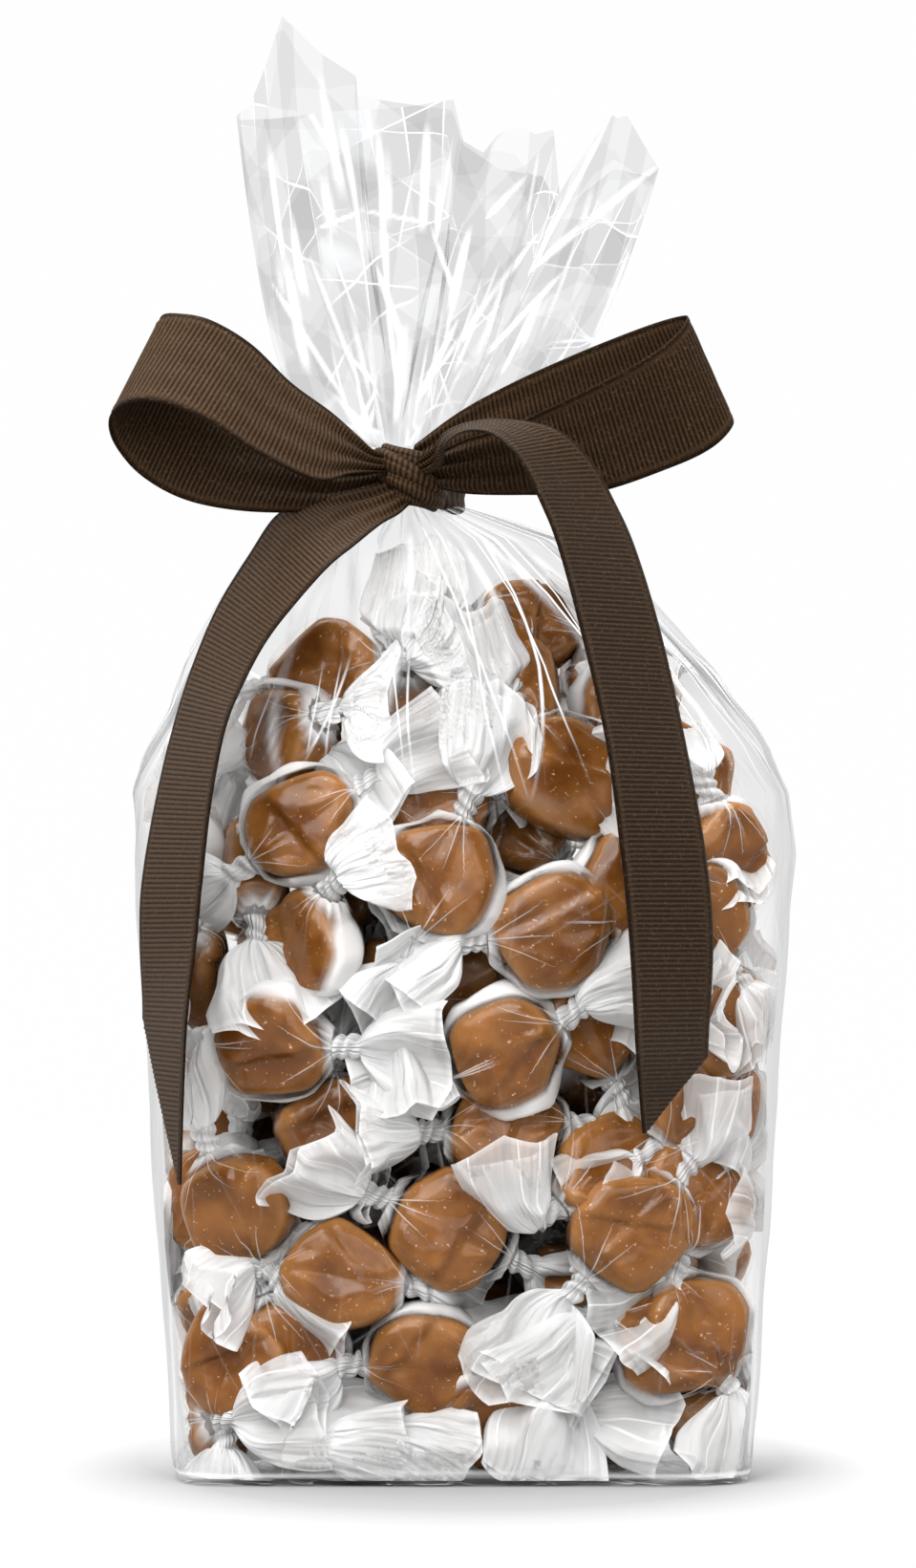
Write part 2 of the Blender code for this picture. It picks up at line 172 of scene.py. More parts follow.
def directions(spin, yaw, pitch):
    """The twist direction, the sideways direction and the face direction of each caramel.

    A face starts towards the front with its twist line at the spin angle, then tips by the pitch about
    the X axis and turns by the yaw about the Z axis.
    """
    spin, yaw, pitch = np.radians(spin), np.radians(yaw), np.radians(pitch)
    twist = np.stack([np.cos(spin), 0 * spin, np.sin(spin)], -1)
    face = np.stack([0 * spin, -1 + 0 * spin, 0 * spin], -1)

    def tipped(v):
        x, y, z = v[:, 0], v[:, 1], v[:, 2]
        y, z = y * np.cos(pitch) + z * np.sin(pitch), -y * np.sin(pitch) + z * np.cos(pitch)
        return np.stack([x * np.cos(yaw) - y * np.sin(yaw), x * np.sin(yaw) + y * np.cos(yaw), z], -1)

    twist, face = tipped(twist), tipped(face)
    return twist, np.cross(face, twist), face


front_half_depth = room_at(FRONT[:, 1])[1]
front_place = np.stack([FRONT[:, 0], FRONT[:, 2] - front_half_depth + 2.0, FRONT[:, 1]], -1)
loose_place = np.stack(
    [
        chance.uniform(-60, 60, LOOSE_COUNT),
        chance.uniform(-24, 40, LOOSE_COUNT),
        chance.uniform(12, 178, LOOSE_COUNT),
    ],
    -1,
)
loose_place = settle(front_place, loose_place, 22.4, 11.5, 184.0)

loose_spin = chance.uniform(0, 360, LOOSE_COUNT)
to_wall = np.degrees(np.arctan2(loose_place[:, 0] / 70.0, -loose_place[:, 1] / 46.0))
loose_yaw = to_wall + chance.normal(0, 34, LOOSE_COUNT)
loose_pitch = chance.normal(0, 30, LOOSE_COUNT)
front_spin = FRONT[:, 8] + 0.5 * (((FRONT[:, 12] + 180 - FRONT[:, 8] + 180) % 360) - 180)

place = np.vstack([front_place, loose_place])
radius = np.concatenate([FRONT[:, 3], chance.uniform(11.6, 13.2, LOOSE_COUNT)])
half_thick = np.concatenate([FRONT[:, 4], chance.uniform(6.4, 7.8, LOOSE_COUNT)])
cover = np.concatenate([FRONT[:, 7], chance.uniform(0.1, 0.35, LOOSE_COUNT)])
twist_way, side_way, face_way = directions(
    np.concatenate([front_spin, loose_spin]),
    np.concatenate([FRONT[:, 5], loose_yaw]),
    np.concatenate([FRONT[:, 6], loose_pitch]),
)
COUNT = len(place)
lump = chance.uniform(0, 2 * np.pi, (COUNT, 6, 1, 1))


def signed_power(value, power):
    return np.sign(value) * np.abs(value) ** power


def in_bag(across, aside, out, who=slice(None)):
    """Points measured along each caramel's twist, sideways and face directions, moved to the bag's frame."""
    return (
        place[who][:, None, None]
        + across[..., None] * twist_way[who][:, None, None]
        + aside[..., None] * side_way[who][:, None, None]
        + out[..., None] * face_way[who][:, None, None]
    )


def quads_of(count, rows, columns, wrap):
    """Corner numbers of the faces between neighbouring rows and columns of count grids laid end to end."""
    row, column = np.meshgrid(np.arange(rows - 1), np.arange(columns if wrap else columns - 1), indexing="ij")
    after = (column + 1) % columns
    one = np.stack([row * columns + column, row * columns + after, (row + 1) * columns + after, (row + 1) * columns + column], -1)
    return (one.reshape(1, -1, 4) + np.arange(count)[:, None, None] * rows * columns).reshape(-1, 4)


def make_piece(name, points, faces, material, values=None):
    """A smooth mesh object from points in millimetres, with the named numbers kept at its points."""
    mesh = bpy.data.meshes.new(name)
    points, faces = np.asarray(points, float).reshape(-1, 3) * 0.001, np.asarray(faces)
    mesh.vertices.add(len(points))
    mesh.vertices.foreach_set("co", points.ravel())
    mesh.loops.add(faces.size)
    mesh.loops.foreach_set("vertex_index", faces.ravel())
    mesh.polygons.add(len(faces))
    mesh.polygons.foreach_set("loop_start", np.arange(len(faces)) * faces.shape[1])
    mesh.update(calc_edges=True)
    mesh.validate()
    for key, numbers in (values or {}).items():
        numbers = np.asarray(numbers, float)
        flat = numbers.size == len(points)
        kept = mesh.attributes.new(key, "FLOAT" if flat else "FLOAT_VECTOR", "POINT")
        kept.data.foreach_set("value" if flat else "vector", numbers.ravel())
    mesh.materials.append(material)
    mesh.shade_smooth()
    piece = bpy.data.objects.new(name, mesh)
    bpy.context.scene.collection.objects.link(piece)
    return piece


def new_material(name):
    """An empty node material: returns it, a function that adds a node and sets its plain sockets, and links."""
    material = bpy.data.materials.new(name)
    material.use_nodes = True
    tree = material.node_tree
    tree.nodes.clear()

    def add(kind, **sockets):
        node = tree.nodes.new(kind)
        for socket, value in sockets.items():
            node.inputs[socket.replace("_", " ")].default_value = value
        return node

    return material, add, tree.links.new


def grade(add, link, source, low, high, low_value=0.0, high_value=1.0):
    """A number's stretch from low to high, spread over low_value to high_value and held at its ends."""
    node = add("ShaderNodeMapRange", **{"From_Min": low, "From_Max": high, "To_Min": low_value, "To_Max": high_value})
    node.clamp = True
    link(source, node.inputs["Value"])
    return node.outputs["Result"]


def blend_colours(add, link, share, first, second):
    """Two colours mixed by a number between 0 and 1."""
    node = add("ShaderNodeMix")
    node.data_type = "RGBA"
    node.inputs["A"].default_value = (*first, 1.0)
    node.inputs["B"].default_value = (*second, 1.0)
    for socket in node.inputs:
        if socket.name in "AB" and socket.type == "RGBA":
            socket.default_value = (*(first if socket.name == "A" else second), 1.0)
    link(share, node.inputs["Factor"])
    return next(socket for socket in node.outputs if socket.type == "RGBA")


def tint_towards(add, link, share, colour, pale):
    """A colour from another node, mixed by a number towards one fixed colour."""
    node = add("ShaderNodeMix")
    node.data_type = "RGBA"
    first, second = (socket for socket in node.inputs if socket.type == "RGBA")
    link(colour, first)
    second.default_value = (*pale, 1.0)
    link(share, node.inputs["Factor"])
    return next(socket for socket in node.outputs if socket.type == "RGBA")


def rim_at(angle, who=slice(None)):
    """A caramel's outline: its radius at an angle from its twist line, where 1 is its full radius.

    It is the soft minimum of side / cos(angle - side way) over seven sides at uneven ways and distances.
    """
    seeds, side = lump[who], np.arange(7)[:, None, None, None]
    ways = side * 2 * np.pi / 7 + 0.35 * np.sin(seeds[None, :, 0] + side * 2.4)
    distance = 0.95 + 0.09 * np.sin(seeds[None, :, 1] * 3 + side * 1.7)
    flat = (np.clip(np.cos(angle[None] - ways), 0.05, 1) / distance) ** 14
    outline = 0.15 + 0.85 * np.minimum(flat.sum(0) ** (-1 / 14), 1.1)
    return np.minimum(outline, 1.05) * (0.975 + 0.06 * np.abs(np.cos(angle)) ** 6)


def face_relief(x, y, who=slice(None)):
    """How the pressed faces and the paper on them rise and dip, in millimetres, x along the twist line.

    Pleats fan out from the two twist ends, zigzag(9 * angle) dying away over 8 mm. One fold crosses the
    face as a step with a groove before it, and a thumb dent lies near the middle.
    """
    seeds, reach = lump[who], radius[who][:, None, None]
    rise = 0 * x
    for end, number in ((1, 0), (-1, 5)):
        from_end = reach * 1.04 - end * x
        pleats = zigzag(9 * np.arctan2(y, from_end) + seeds[:, number])
        rise = rise + 0.75 * pleats * np.exp(-((np.hypot(y, from_end) / 10.5) ** 2))
    way = seeds[:, 2] * 0.5 - 0.8
    apart = y * np.cos(way) + x * np.sin(way) - 5.5 * np.sin(seeds[:, 5])
    rise = rise + 0.75 * np.tanh(apart / 0.6) - 0.6 * np.exp(-((apart / 0.6) ** 2))
    way = seeds[:, 1] * 0.5 - 1.6
    apart = y * np.cos(way) + x * np.sin(way) + 4.0 * np.cos(seeds[:, 3])
    rise = rise - 0.6 * np.exp(-np.abs(apart) / 0.7) * np.clip(0.3 + np.sin(seeds[:, 4]), 0, 1)
    dent = np.exp(-((x - 3 * np.cos(seeds[:, 4])) ** 2 + (y - 3 * np.sin(seeds[:, 4])) ** 2) / 34)
    return rise - 0.8 * dent


def face_slope(x, y, who=slice(None)):
    """The share of its full thickness that a caramel has at a spot: one edge is pressed thinner."""
    seeds = lump[who]
    return 0.96 + 0.14 * (x * np.cos(seeds[:, 3]) + y * np.sin(seeds[:, 3])) / 12


def zigzag(angle):
    """A wave of straight runs between -1 and 1, one to each turn, as sharp folds have."""
    return 2 / np.pi * np.arcsin(0.985 * np.sin(angle))


def painted_light_at(points):
    """How much light a spot in the heap is painted with: 1 just under the film, less and less deeper in.

    The spot's share of the way to the film, taken as in keep_inside, gives its depth in millimetres. The
    caramel and paper colours are darkened by this number, down to 0.15: painted shade, not cast by lamps.
    """
    half_width, half_depth, middle, boxy = room_at(points[..., 2])
    share = (np.abs((points[..., 0] - middle) / half_width) ** boxy + np.abs(points[..., 1] / half_depth) ** boxy) ** (1.0 / boxy)
    return np.clip(1.0 - ((1.0 - share) * half_depth - 9.0) / 25.0, 0.15, 1.0)


def caramel_points(face_rows, side_rows, columns):
    """Thick pressed discs: radius R cos(a)^0.38 and height h sin(a)^0.55, for a from pole to pole.

    R follows the outline of rim_at and h the slope of face_slope, and face_relief is added to the faces.
    The rows are even over the faces, where cos(a)^0.38 runs from 0 to 0.94, and again down the sides.
    """
    over = np.arccos(np.linspace(0, 0.94, face_rows) ** (1 / 0.38))
    down = np.linspace(over[-1], 0, side_rows + 1)[1:]
    half = np.concatenate([over, down])
    a = np.concatenate([-half, half[-2::-1]])[None, :, None]
    b = np.linspace(0, 2 * np.pi, columns, endpoint=False)[None, None, :]
    across = radius[:, None, None] * rim_at(b) * np.cos(a) ** 0.38
    x, y = across * np.cos(b), across * np.sin(b)
    out = half_thick[:, None, None] * signed_power(np.sin(a), 0.55) * face_slope(x, y)
    out = out + face_relief(x, y) * np.sign(a) * np.clip(np.abs(np.sin(a)) / 0.5, 0, 1)
    # painted glow: a band round the rim, where the colour is later lightened as if light shone through the caramel
    painted_rim_glow = np.exp(-(((np.abs(np.sin(a)) - 0.45) / 0.28) ** 2)) + 0 * x
    return in_bag(x, y, out), painted_rim_glow


for _ in range(8):
    outline = caramel_points(3, 2, 12)[0].reshape(COUNT, -1, 3)
    shift = keep_inside(outline, 2.2) - outline
    furthest = np.linalg.norm(shift, axis=-1).argmax(1)
    place = place + 0.8 * shift[np.arange(COUNT), furthest]

caramel_look, add, link = new_material("soft_caramel")
spot = add("ShaderNodeTexCoord")
slow = add("ShaderNodeTexNoise", Scale=110.0, Detail=2.0)
fine = add("ShaderNodeTexNoise", Scale=1100.0, Detail=1.0, Roughness=0.6)
link(spot.outputs["Object"], slow.inputs["Vector"])
link(spot.outputs["Object"], fine.inputs["Vector"])
edge = add("ShaderNodeAttribute")
edge.attribute_name = "painted_rim_glow"
light = add("ShaderNodeAttribute")
light.attribute_name = "light"
brown = blend_colours(add, link, grade(add, link, slow.outputs["Fac"], 0.36, 0.66), (0.122, 0.041, 0.0075), (0.240, 0.093, 0.0205))
# painted glow: lighter orange round the rim, as if light shone through the caramel there
brown = tint_towards(add, link, grade(add, link, edge.outputs["Fac"], 0.0, 1.0, 0.0, 0.45), brown, (0.42, 0.20, 0.065))
brown = tint_towards(add, link, grade(add, link, fine.outputs["Fac"], 0.69, 0.77, 0.0, 0.6), brown, (0.66, 0.48, 0.32))
# painted shade: the deeper a caramel lies in the heap, the more its colour is darkened towards near-black brown
brown = tint_towards(add, link, grade(add, link, light.outputs["Fac"], 0.0, 1.0, 1.0, 0.0), brown, (0.045, 0.016, 0.004))
sweet = add("ShaderNodeBsdfPrincipled", Specular_IOR_Level=0.36)
dents = add("ShaderNodeTexNoise", Scale=260.0, Detail=1.0, Roughness=0.55)
link(spot.outputs["Object"], dents.inputs["Vector"])
bump = add("ShaderNodeBump", Strength=0.40, Distance=0.0007)
link(dents.outputs["Fac"], bump.inputs["Height"])
link(bump.outputs["Normal"], sweet.inputs["Normal"])
link(brown, sweet.inputs["Base Color"])
link(grade(add, link, slow.outputs["Fac"], 0.3, 0.7, 0.12, 0.28), sweet.inputs["Roughness"])
link(sweet.outputs["BSDF"], add("ShaderNodeOutputMaterial").inputs["Surface"])

for name, who, face_rows, side_rows, columns in (
    ("caramels_in_front", slice(0, len(FRONT)), 11, 4, 60),
    ("caramels_behind", slice(len(FRONT), None), 6, 3, 30),
):
    points, painted_rim_glow = caramel_points(face_rows, side_rows, columns)
    points = keep_inside(points[who], 1.4)
    faces = quads_of(len(points), points.shape[1], columns, True)[:, ::-1]
    caramels = make_piece(name, points, faces, caramel_look, {"painted_rim_glow": painted_rim_glow[who], "light": painted_light_at(points)})
    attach(caramels, "root")
    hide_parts("candy_bag")

# ================================================================ the waxed papers
# Each caramel is rolled in a square of thin white waxed tissue, which clings to it and goes clear there.
# What stands out past the two ends is twisted into a short rope and left as a crumpled fan.

ROPE_RADIUS = 3.0
ROPE_LENGTH = 6.5
loose_ends = np.stack(
    [
        loose_spin + chance.normal(0, 14, LOOSE_COUNT),
        loose_spin + chance.normal(0, 34, LOOSE_COUNT),
        np.minimum(chance.normal(12, 26, LOOSE_COUNT), 6),
        chance.uniform(12, 18, LOOSE_COUNT),
        loose_spin + 180 + chance.normal(0, 14, LOOSE_COUNT),
        loose_spin + 180 + chance.normal(0, 34, LOOSE_COUNT),
        np.minimum(chance.normal(12, 26, LOOSE_COUNT), 6),
        chance.uniform(12, 18, LOOSE_COUNT),
    ],
    -1,
)
ends = np.vstack([FRONT[:, 8:16], loose_ends])
ends[:, (3, 7)] *= 1.20


def crumple(points, size, seed):
    """Three numbers at each point from six crossed zigzags whose wavelengths are near size: flat facets."""
    ways = np.random.default_rng(seed)
    made = np.zeros(points.shape)
    for _ in range(6):
        way = ways.normal(0, 1, 3)
        way *= 2 * np.pi / (size * ways.uniform(0.7, 1.6) * np.linalg.norm(way))
        made += zigzag(points @ way + ways.uniform(0, 2 * np.pi))[..., None] * ways.normal(0, 0.45, 3)
    return made


def from_front(angle, lean, yaw):
    """A direction at an angle seen from the front, leant towards the front and turned with its caramel."""
    angle, lean, yaw = np.radians(angle), np.radians(lean), np.radians(yaw)
    x, y, z = np.cos(angle) * np.cos(lean), -np.sin(lean), np.sin(angle) * np.cos(lean)
    return np.stack([x * np.cos(yaw) - y * np.sin(yaw), x * np.sin(yaw) + y * np.cos(yaw), z], -1)


def unit(v):
    return v / np.maximum(np.linalg.norm(v, axis=-1, keepdims=True), 1e-9)


def body_turns(columns):
    """The ways round a flat round-cornered tube, 12.8 by 7.9 mm in its half sizes, at even steps along it."""
    fine = np.linspace(0, 2 * np.pi, 4001)
    x, y = 12.8 * signed_power(np.cos(fine), 0.4), 7.9 * signed_power(np.sin(fine), 0.4)
    run = np.concatenate([[0], np.cumsum(np.hypot(np.diff(x), np.diff(y)))])
    return np.interp(np.linspace(0, run[-1], columns, endpoint=False), run, fine)


def wrap_body(who, rows, columns):
    """The paper round a caramel: a tube along the twist direction that hugs the disc.

    At u from -1 to 1 along it, the half width is the disc's own, (R+.1)(1-|u|^2.5)^.5, and the half
    thickness stays full until the end. Both are held over the rope's radius and drawn in to the
    caramel's own outline and relief, and zigzag pleats grow towards the ends. At its two sides spare
    paper may stand off in a folded edge. Also returns how white the paper is.
    """
    u = np.sin(np.linspace(-1, 1, rows) * np.pi / 2)[None, :, None]
    turn = body_turns(columns)[None, None, :]
    r, h, hide = radius[who][:, None, None], half_thick[who][:, None, None], cover[who][:, None, None]
    phase = lump[who]
    end = np.abs(u)
    hug = (r + 0.1) * np.sqrt(np.clip(1 - (end * 0.96) ** 2.5, 0, 1))
    wide = (hug**4 + ROPE_RADIUS**4) ** 0.25
    thick = (h + 0.5) * (1 - end**7) + ROPE_RADIUS * end**7
    square = 5.0 - 3.0 * end**4
    gather = np.clip((end - 0.45) / 0.55, 0, 1)
    folds = zigzag(11 * turn + phase[:, 0] + 1.5 * u)
    pleat = 1 + (0.004 + 0.17 * gather**3) * folds + 0.08 * gather**3 * zigzag(5 * turn + phase[:, 1])
    along = (r + 1.2) * u + 0 * turn
    aside = wide * pleat * signed_power(np.cos(turn), 2 / square)
    outline = (r * rim_at(np.arctan2(aside, along), who) + 0.35) / np.maximum(np.hypot(along, aside), 1e-6)
    draw = 1 - (1 - np.minimum(outline, 1)) * (1 - end**8)
    along, aside = along * draw, aside * draw
    out = thick * pleat * signed_power(np.sin(turn), 2 / square)
    on_face = np.clip(np.abs(np.sin(turn)) / 0.5, 0, 1) * (1 - end**6)
    out = out * (1 + (face_slope(along, aside, who) - 1) * (1 - end**6))
    out = out + (face_relief(along, aside, who)) * on_face * np.sign(np.sin(turn))
    edge = np.abs(np.cos(turn)) ** 12
    ring = np.clip(2.6 * np.sin(phase[:, 2] + np.where(np.cos(turn) > 0, 0.0, 1.2)) - 1.2, 0, 1)
    ring = 0.6 * ring * (np.arange(COUNT)[who] < 34)[:, None, None]
    ring = np.where(hide < 0.115, 0.9, ring) * (hide > 0.08)
    spare = 3.0 * ring * (1 + 0.30 * zigzag(4.2 * u + phase[:, 3])) * (1 - end**3) * edge
    aside = aside + spare * np.sign(np.cos(turn))
    out = out + 0.9 * spare * np.sin(3.3 * u + phase[:, 1])
    points = in_bag(along, aside, out, who)
    points = points + 0.10 * crumple(points, 7.0, 5)
    patch = np.clip(zigzag(2.0 * turn + phase[:, 5] + 3 * u) * zigzag(1.4 * turn + phase[:, 1] + u) - 0.25, 0, 1)
    ridge = np.clip(1 - (1 - folds) / 0.22, 0, 1)
    white = np.clip(hide - 0.12, 0, 1) * 1.2 * patch**1.5 + 0.92 * np.clip(spare / 0.7, 0, 1)
    white = white + 0.85 * np.clip((end - 0.90) / 0.09, 0, 1) + 0.75 * ridge * gather**2
    fan_out = np.arctan2(aside, 1.15 * r - np.abs(along))
    fold_at = np.stack([1.5 * fan_out + 0 * u, np.abs(along) / 12 + 0 * fan_out, 9 * phase[:, 4] + 0.25 * out / h], -1)
    from_end = 1.15 * r - np.abs(along)
    taper = np.clip(1.9 * np.abs(along) / r - 0.5 + 0.5 * np.sin(phase[:, 0]), 0.04, 1)
    streaks = [(aside - 0.6 * (k + np.sin(phase[:, k + 2] + np.sign(along))) * from_end) / taper for k in (-1, 0, 1)]
    return points, np.clip(white - 0.015, 0, 1), fold_at, np.stack(streaks, -1)


def wrap_end(who, rows, columns, side):
    """One twisted end: a ring carried along a cubic curve that leaves the caramel, ropes and then opens.

    On the rope the ring has ridges wound steeply round it, 3.6 mm apart. Past it, for f from 0 to 1, it
    opens as f^0.72 and is pressed nearly flat. Both its layers are then folded together by two zigzags
    across its width, and the cut rim of each layer is two straight runs that meet in a corner. Also
    returns how white the paper is and where it is on the sheet, from which its pleats are drawn.
    """
    k = 0 if side > 0 else 4
    rope_angle, fan_angle, lean, length = (ends[who][:, k + i] for i in range(4))
    yaw = np.concatenate([FRONT[:, 5] * 0.3 * (np.abs(FRONT[:, 5]) < 70), to_wall])[who]
    rope_way = from_front(rope_angle, lean * 0.5, yaw)
    fan_way = from_front(fan_angle, lean, yaw)
    start = place[who] + side * twist_way[who] * (radius[who] + 1.0)[:, None]
    seeds = chance.uniform(0, 2 * np.pi, (len(start), 10, 1, 1))
    # the rope runs straight for its length, then the fan bends over to its own direction
    first = unit(side * twist_way[who] * 0.5 + rope_way)
    rope_tip = start + first * ROPE_LENGTH
    control = [rope_tip, rope_tip + unit(first + fan_way) * (length * 0.3)[:, None], rope_tip + fan_way * length[:, None]]
    rope_rows = int(rows * 0.45)
    s = np.linspace(0, 1, rope_rows)[None, :, None]
    f = np.linspace(0, 1, rows - rope_rows + 1)[1:][None, :, None] ** 1.1
    bent = (1 - f) ** 2 * control[0][:, None] + 2 * f * (1 - f) * control[1][:, None] + f**2 * control[2][:, None]
    bent_way = unit((1 - f) * (control[1] - control[0])[:, None] + f * (control[2] - control[1])[:, None])
    path = np.concatenate([start[:, None] + s * (rope_tip - start)[:, None], bent], 1)
    tangent = np.concatenate([first[:, None] + 0 * s, bent_way], 1)
    s = np.concatenate([s, 1 + 0 * f], 1)
    f = np.concatenate([np.zeros((1, rope_rows, 1)), f], 1)
    view_way = from_front(np.zeros(len(start)), np.full(len(start), 90.0), yaw)
    wide_way = np.cross(fan_way, view_way)
    flat_on = np.linalg.norm(wide_way, axis=-1, keepdims=True) < 0.3
    wide_way = unit(np.where(flat_on, side_way[who], wide_way))
    wide = unit(wide_way[:, None] - (wide_way[:, None] * tangent).sum(-1, keepdims=True) * tangent)
    deep = side * np.cross(tangent, wide)
    offset = np.arctan2((face_way[who] * wide[:, 0]).sum(-1), (side_way[who] * wide[:, 0]).sum(-1))[:, None, None]
    even = np.linspace(0, 2 * np.pi, columns, endpoint=False)
    turn = body_turns(columns) * (1 - s) + even * s - offset
    large = 0.55 * zigzag(2 * turn + seeds[:, 0] + 0.5 * f) + 0.45 * zigzag(4 * turn + seeds[:, 1] - 0.7 * f)
    wound = turn + np.pi * s * ROPE_LENGTH / 2.9 + seeds[:, 8] + 0.45 * np.sin(2 * np.pi * s + seeds[:, 3])
    valley = np.abs(np.cos(wound)) ** 3
    rope = ROPE_RADIUS * (1.08 - 0.30 * valley) * (1 - 0.14 * np.sin(np.pi * s)) * (1 + 0.10 * np.sin(turn + seeds[:, 2] + 3 * s))
    size = length[:, None, None]
    bell = f**0.72 * (1 - (0.10 + 0.08 * np.sin(seeds[:, 9])) * f**2)
    half_wide = (0.64 + 0.08 * np.sin(seeds[:, 1])) * size * bell
    half_deep = (0.08 + 0.05 * np.sin(seeds[:, 4])) * size * bell
    over = np.cos(turn)
    layer = np.where(np.sin(turn) > 0, 1.0, -1.0)
    peak_at = 0.55 * np.sin(seeds[:, 3] + 1.3 * layer)
    peak = 0.05 + 0.17 * np.sin(seeds[:, 0] + 2.1 * layer)
    low_left, low_right = -0.09 + 0.10 * np.sin(seeds[:, 5]), -0.09 + 0.10 * np.sin(seeds[:, 6])
    rising = low_left + (peak - low_left) * (over + 1) / (peak_at + 1)
    falling = low_right + (peak - low_right) * (1 - over) / (1 - peak_at)
    along = size * f**1.5 * np.minimum(rising, falling)
    rope = rope * (1 - f) + 0.8 * ROPE_RADIUS * f
    fold = 0.19 * zigzag(2.6 * over + seeds[:, 5]) + 0.12 * zigzag(6.0 * over + seeds[:, 6] + 0.9 * f)
    fold = fold * size * np.sin(np.pi * 0.62 * f**0.8)
    points = (
        path[:, :, None]
        + ((rope + half_wide * (1 + 0.07 * large)) * over)[..., None] * wide[:, :, None]
        + ((rope * (1 - 0.8 * f) + half_deep * (1 + 0.3 * large)) * np.sin(turn) + fold)[..., None] * deep[:, :, None]
        + along[..., None] * tangent[:, :, None]
    )
    points = points + (0.75 * np.minimum(2 * f, 1))[..., None] * crumple(points, 15.0, 8)
    edge = np.clip((f - 0.97) / 0.02, 0, 1)
    opened = np.minimum(f * 1.5, 1)
    white = 0.97 - (0.36 + 0.13 * np.sin(seeds[:, 6]) + 0.10 * large) * opened + 0.30 * edge
    fold_at = np.stack([4.4 * over + 0 * f, 1.2 * f + 0 * over, 9 * seeds[:, 2] + 0.6 * np.sin(turn) + 0 * f], -1)
    # painted shade: the paper is made more see-through in the rope's grooves, so they read darker
    white = np.clip(white - 0.25 * valley * (f == 0) * (s > 0.04), 0, 1)
    streaks = [(over - 0.6 * k - 0.35 * np.sin(seeds[:, k + 5] + 2 * layer) * (1 - 0.6 * f)) * (1 + half_wide) + 9 * (f == 0) for k in (-1, 0, 1)]
    return points, white, fold_at, np.stack(streaks, -1)


def wrapped(who, body_rows, end_rows, columns):
    """Each whole paper as one run of rings: far end, body and near end, sharing the rings where they meet."""
    far, body, near = wrap_end(who, end_rows, columns, -1), wrap_body(who, body_rows, columns), wrap_end(who, end_rows, columns, 1)
    return tuple(np.concatenate([a[:, :0:-1], b, c[:, 1:]], 1) for a, b, c in zip(far, body, near))


paper_look, add, link = new_material("waxed_paper")
white = add("ShaderNodeAttribute")
white.attribute_name = "white"
light = add("ShaderNodeAttribute")
light.attribute_name = "light"
spot = add("ShaderNodeTexCoord")
fold_at = add("ShaderNodeAttribute")
fold_at.attribute_name = "fold_at"
pleats = add("ShaderNodeTexNoise", Scale=1.0, Detail=1.5, Roughness=0.55)
link(fold_at.outputs["Vector"], pleats.inputs["Vector"])
pulp = blend_colours(add, link, grade(add, link, pleats.outputs["Fac"], 0.35, 0.65), (0.93, 0.93, 0.932), (0.99, 0.99, 0.985))
# painted shade: the deeper a paper lies in the heap, the more its white is darkened towards grey
pulp = tint_towards(add, link, grade(add, link, light.outputs["Fac"], 0.0, 1.0, 1.0, 0.0), pulp, (0.60, 0.595, 0.588))
raised = add("ShaderNodeBump", Strength=1.0, Distance=0.0022)
link(pleats.outputs["Fac"], raised.inputs["Height"])
tissue = add("ShaderNodeBsdfPrincipled", Roughness=0.42, Specular_IOR_Level=0.35)
glow = add("ShaderNodeBsdfTranslucent")
link(pulp, tissue.inputs["Base Color"])
link(pulp, glow.inputs["Color"])
link(raised.outputs["Normal"], tissue.inputs["Normal"])
link(raised.outputs["Normal"], glow.inputs["Normal"])
paper_mix = add("ShaderNodeMixShader", Fac=0.36)
link(tissue.outputs["BSDF"], paper_mix.inputs[1])
link(glow.outputs["BSDF"], paper_mix.inputs[2])
clear = add("ShaderNodeBsdfTransparent", Color=(0.985, 0.975, 0.965, 1))
streaks = add("ShaderNodeAttribute")
streaks.attribute_name = "streaks"
three = add("ShaderNodeSeparateXYZ")
link(streaks.outputs["Vector"], three.inputs[0])
away = three.outputs["X"]
for axis in "YZ":
    size_of = add("ShaderNodeMath")
    size_of.operation = "ABSOLUTE"
    link(three.outputs[axis], size_of.inputs[0])
    nearest = add("ShaderNodeMath")
    nearest.operation = "MINIMUM"
    before = add("ShaderNodeMath")
    before.operation = "ABSOLUTE"
    link(away, before.inputs[0])
    link(before.outputs["Value"], nearest.inputs[0])
    link(size_of.outputs["Value"], nearest.inputs[1])
    away = nearest.outputs["Value"]
covered = add("ShaderNodeMath")
covered.operation = "ADD"
link(white.outputs["Fac"], covered.inputs[0])
link(grade(add, link, away, 0.06, 0.24, 0.40, 0.0), covered.inputs[1])
shown = add("ShaderNodeMixShader")
link(covered.outputs["Value"], shown.inputs["Fac"])
link(clear.outputs["BSDF"], shown.inputs[1])
link(paper_mix.outputs["Shader"], shown.inputs[2])
link(shown.outputs["Shader"], add("ShaderNodeOutputMaterial").inputs["Surface"])

for name, who, body_rows, end_rows, columns in (
    ("papers_upper", slice(0, 11), 27, 40, 64),
    ("papers_middle", slice(11, 22), 27, 40, 64),
    ("papers_lower", slice(22, 34), 27, 40, 64),
    ("papers_ends", slice(34, len(FRONT)), 17, 40, 52),
    ("papers_behind", slice(len(FRONT), None), 13, 16, 28),
):
    points, whiteness, fold_at, streaks = wrapped(who, body_rows, end_rows, columns)
    # the film's facets dip deepest at the shoulders, so the papers keep further from it there
    points = keep_inside(points, 1.0 + 0.95 * np.exp(-(((points[..., 2] - 172) / 30) ** 2)))
    faces = quads_of(len(points), points.shape[1], columns, True)
    values = {"white": whiteness, "light": painted_light_at(points), "fold_at": fold_at, "streaks": streaks}
    papers = make_piece(name, points, faces, paper_look, values)
    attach(papers, "root")
    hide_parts("candy_bag")

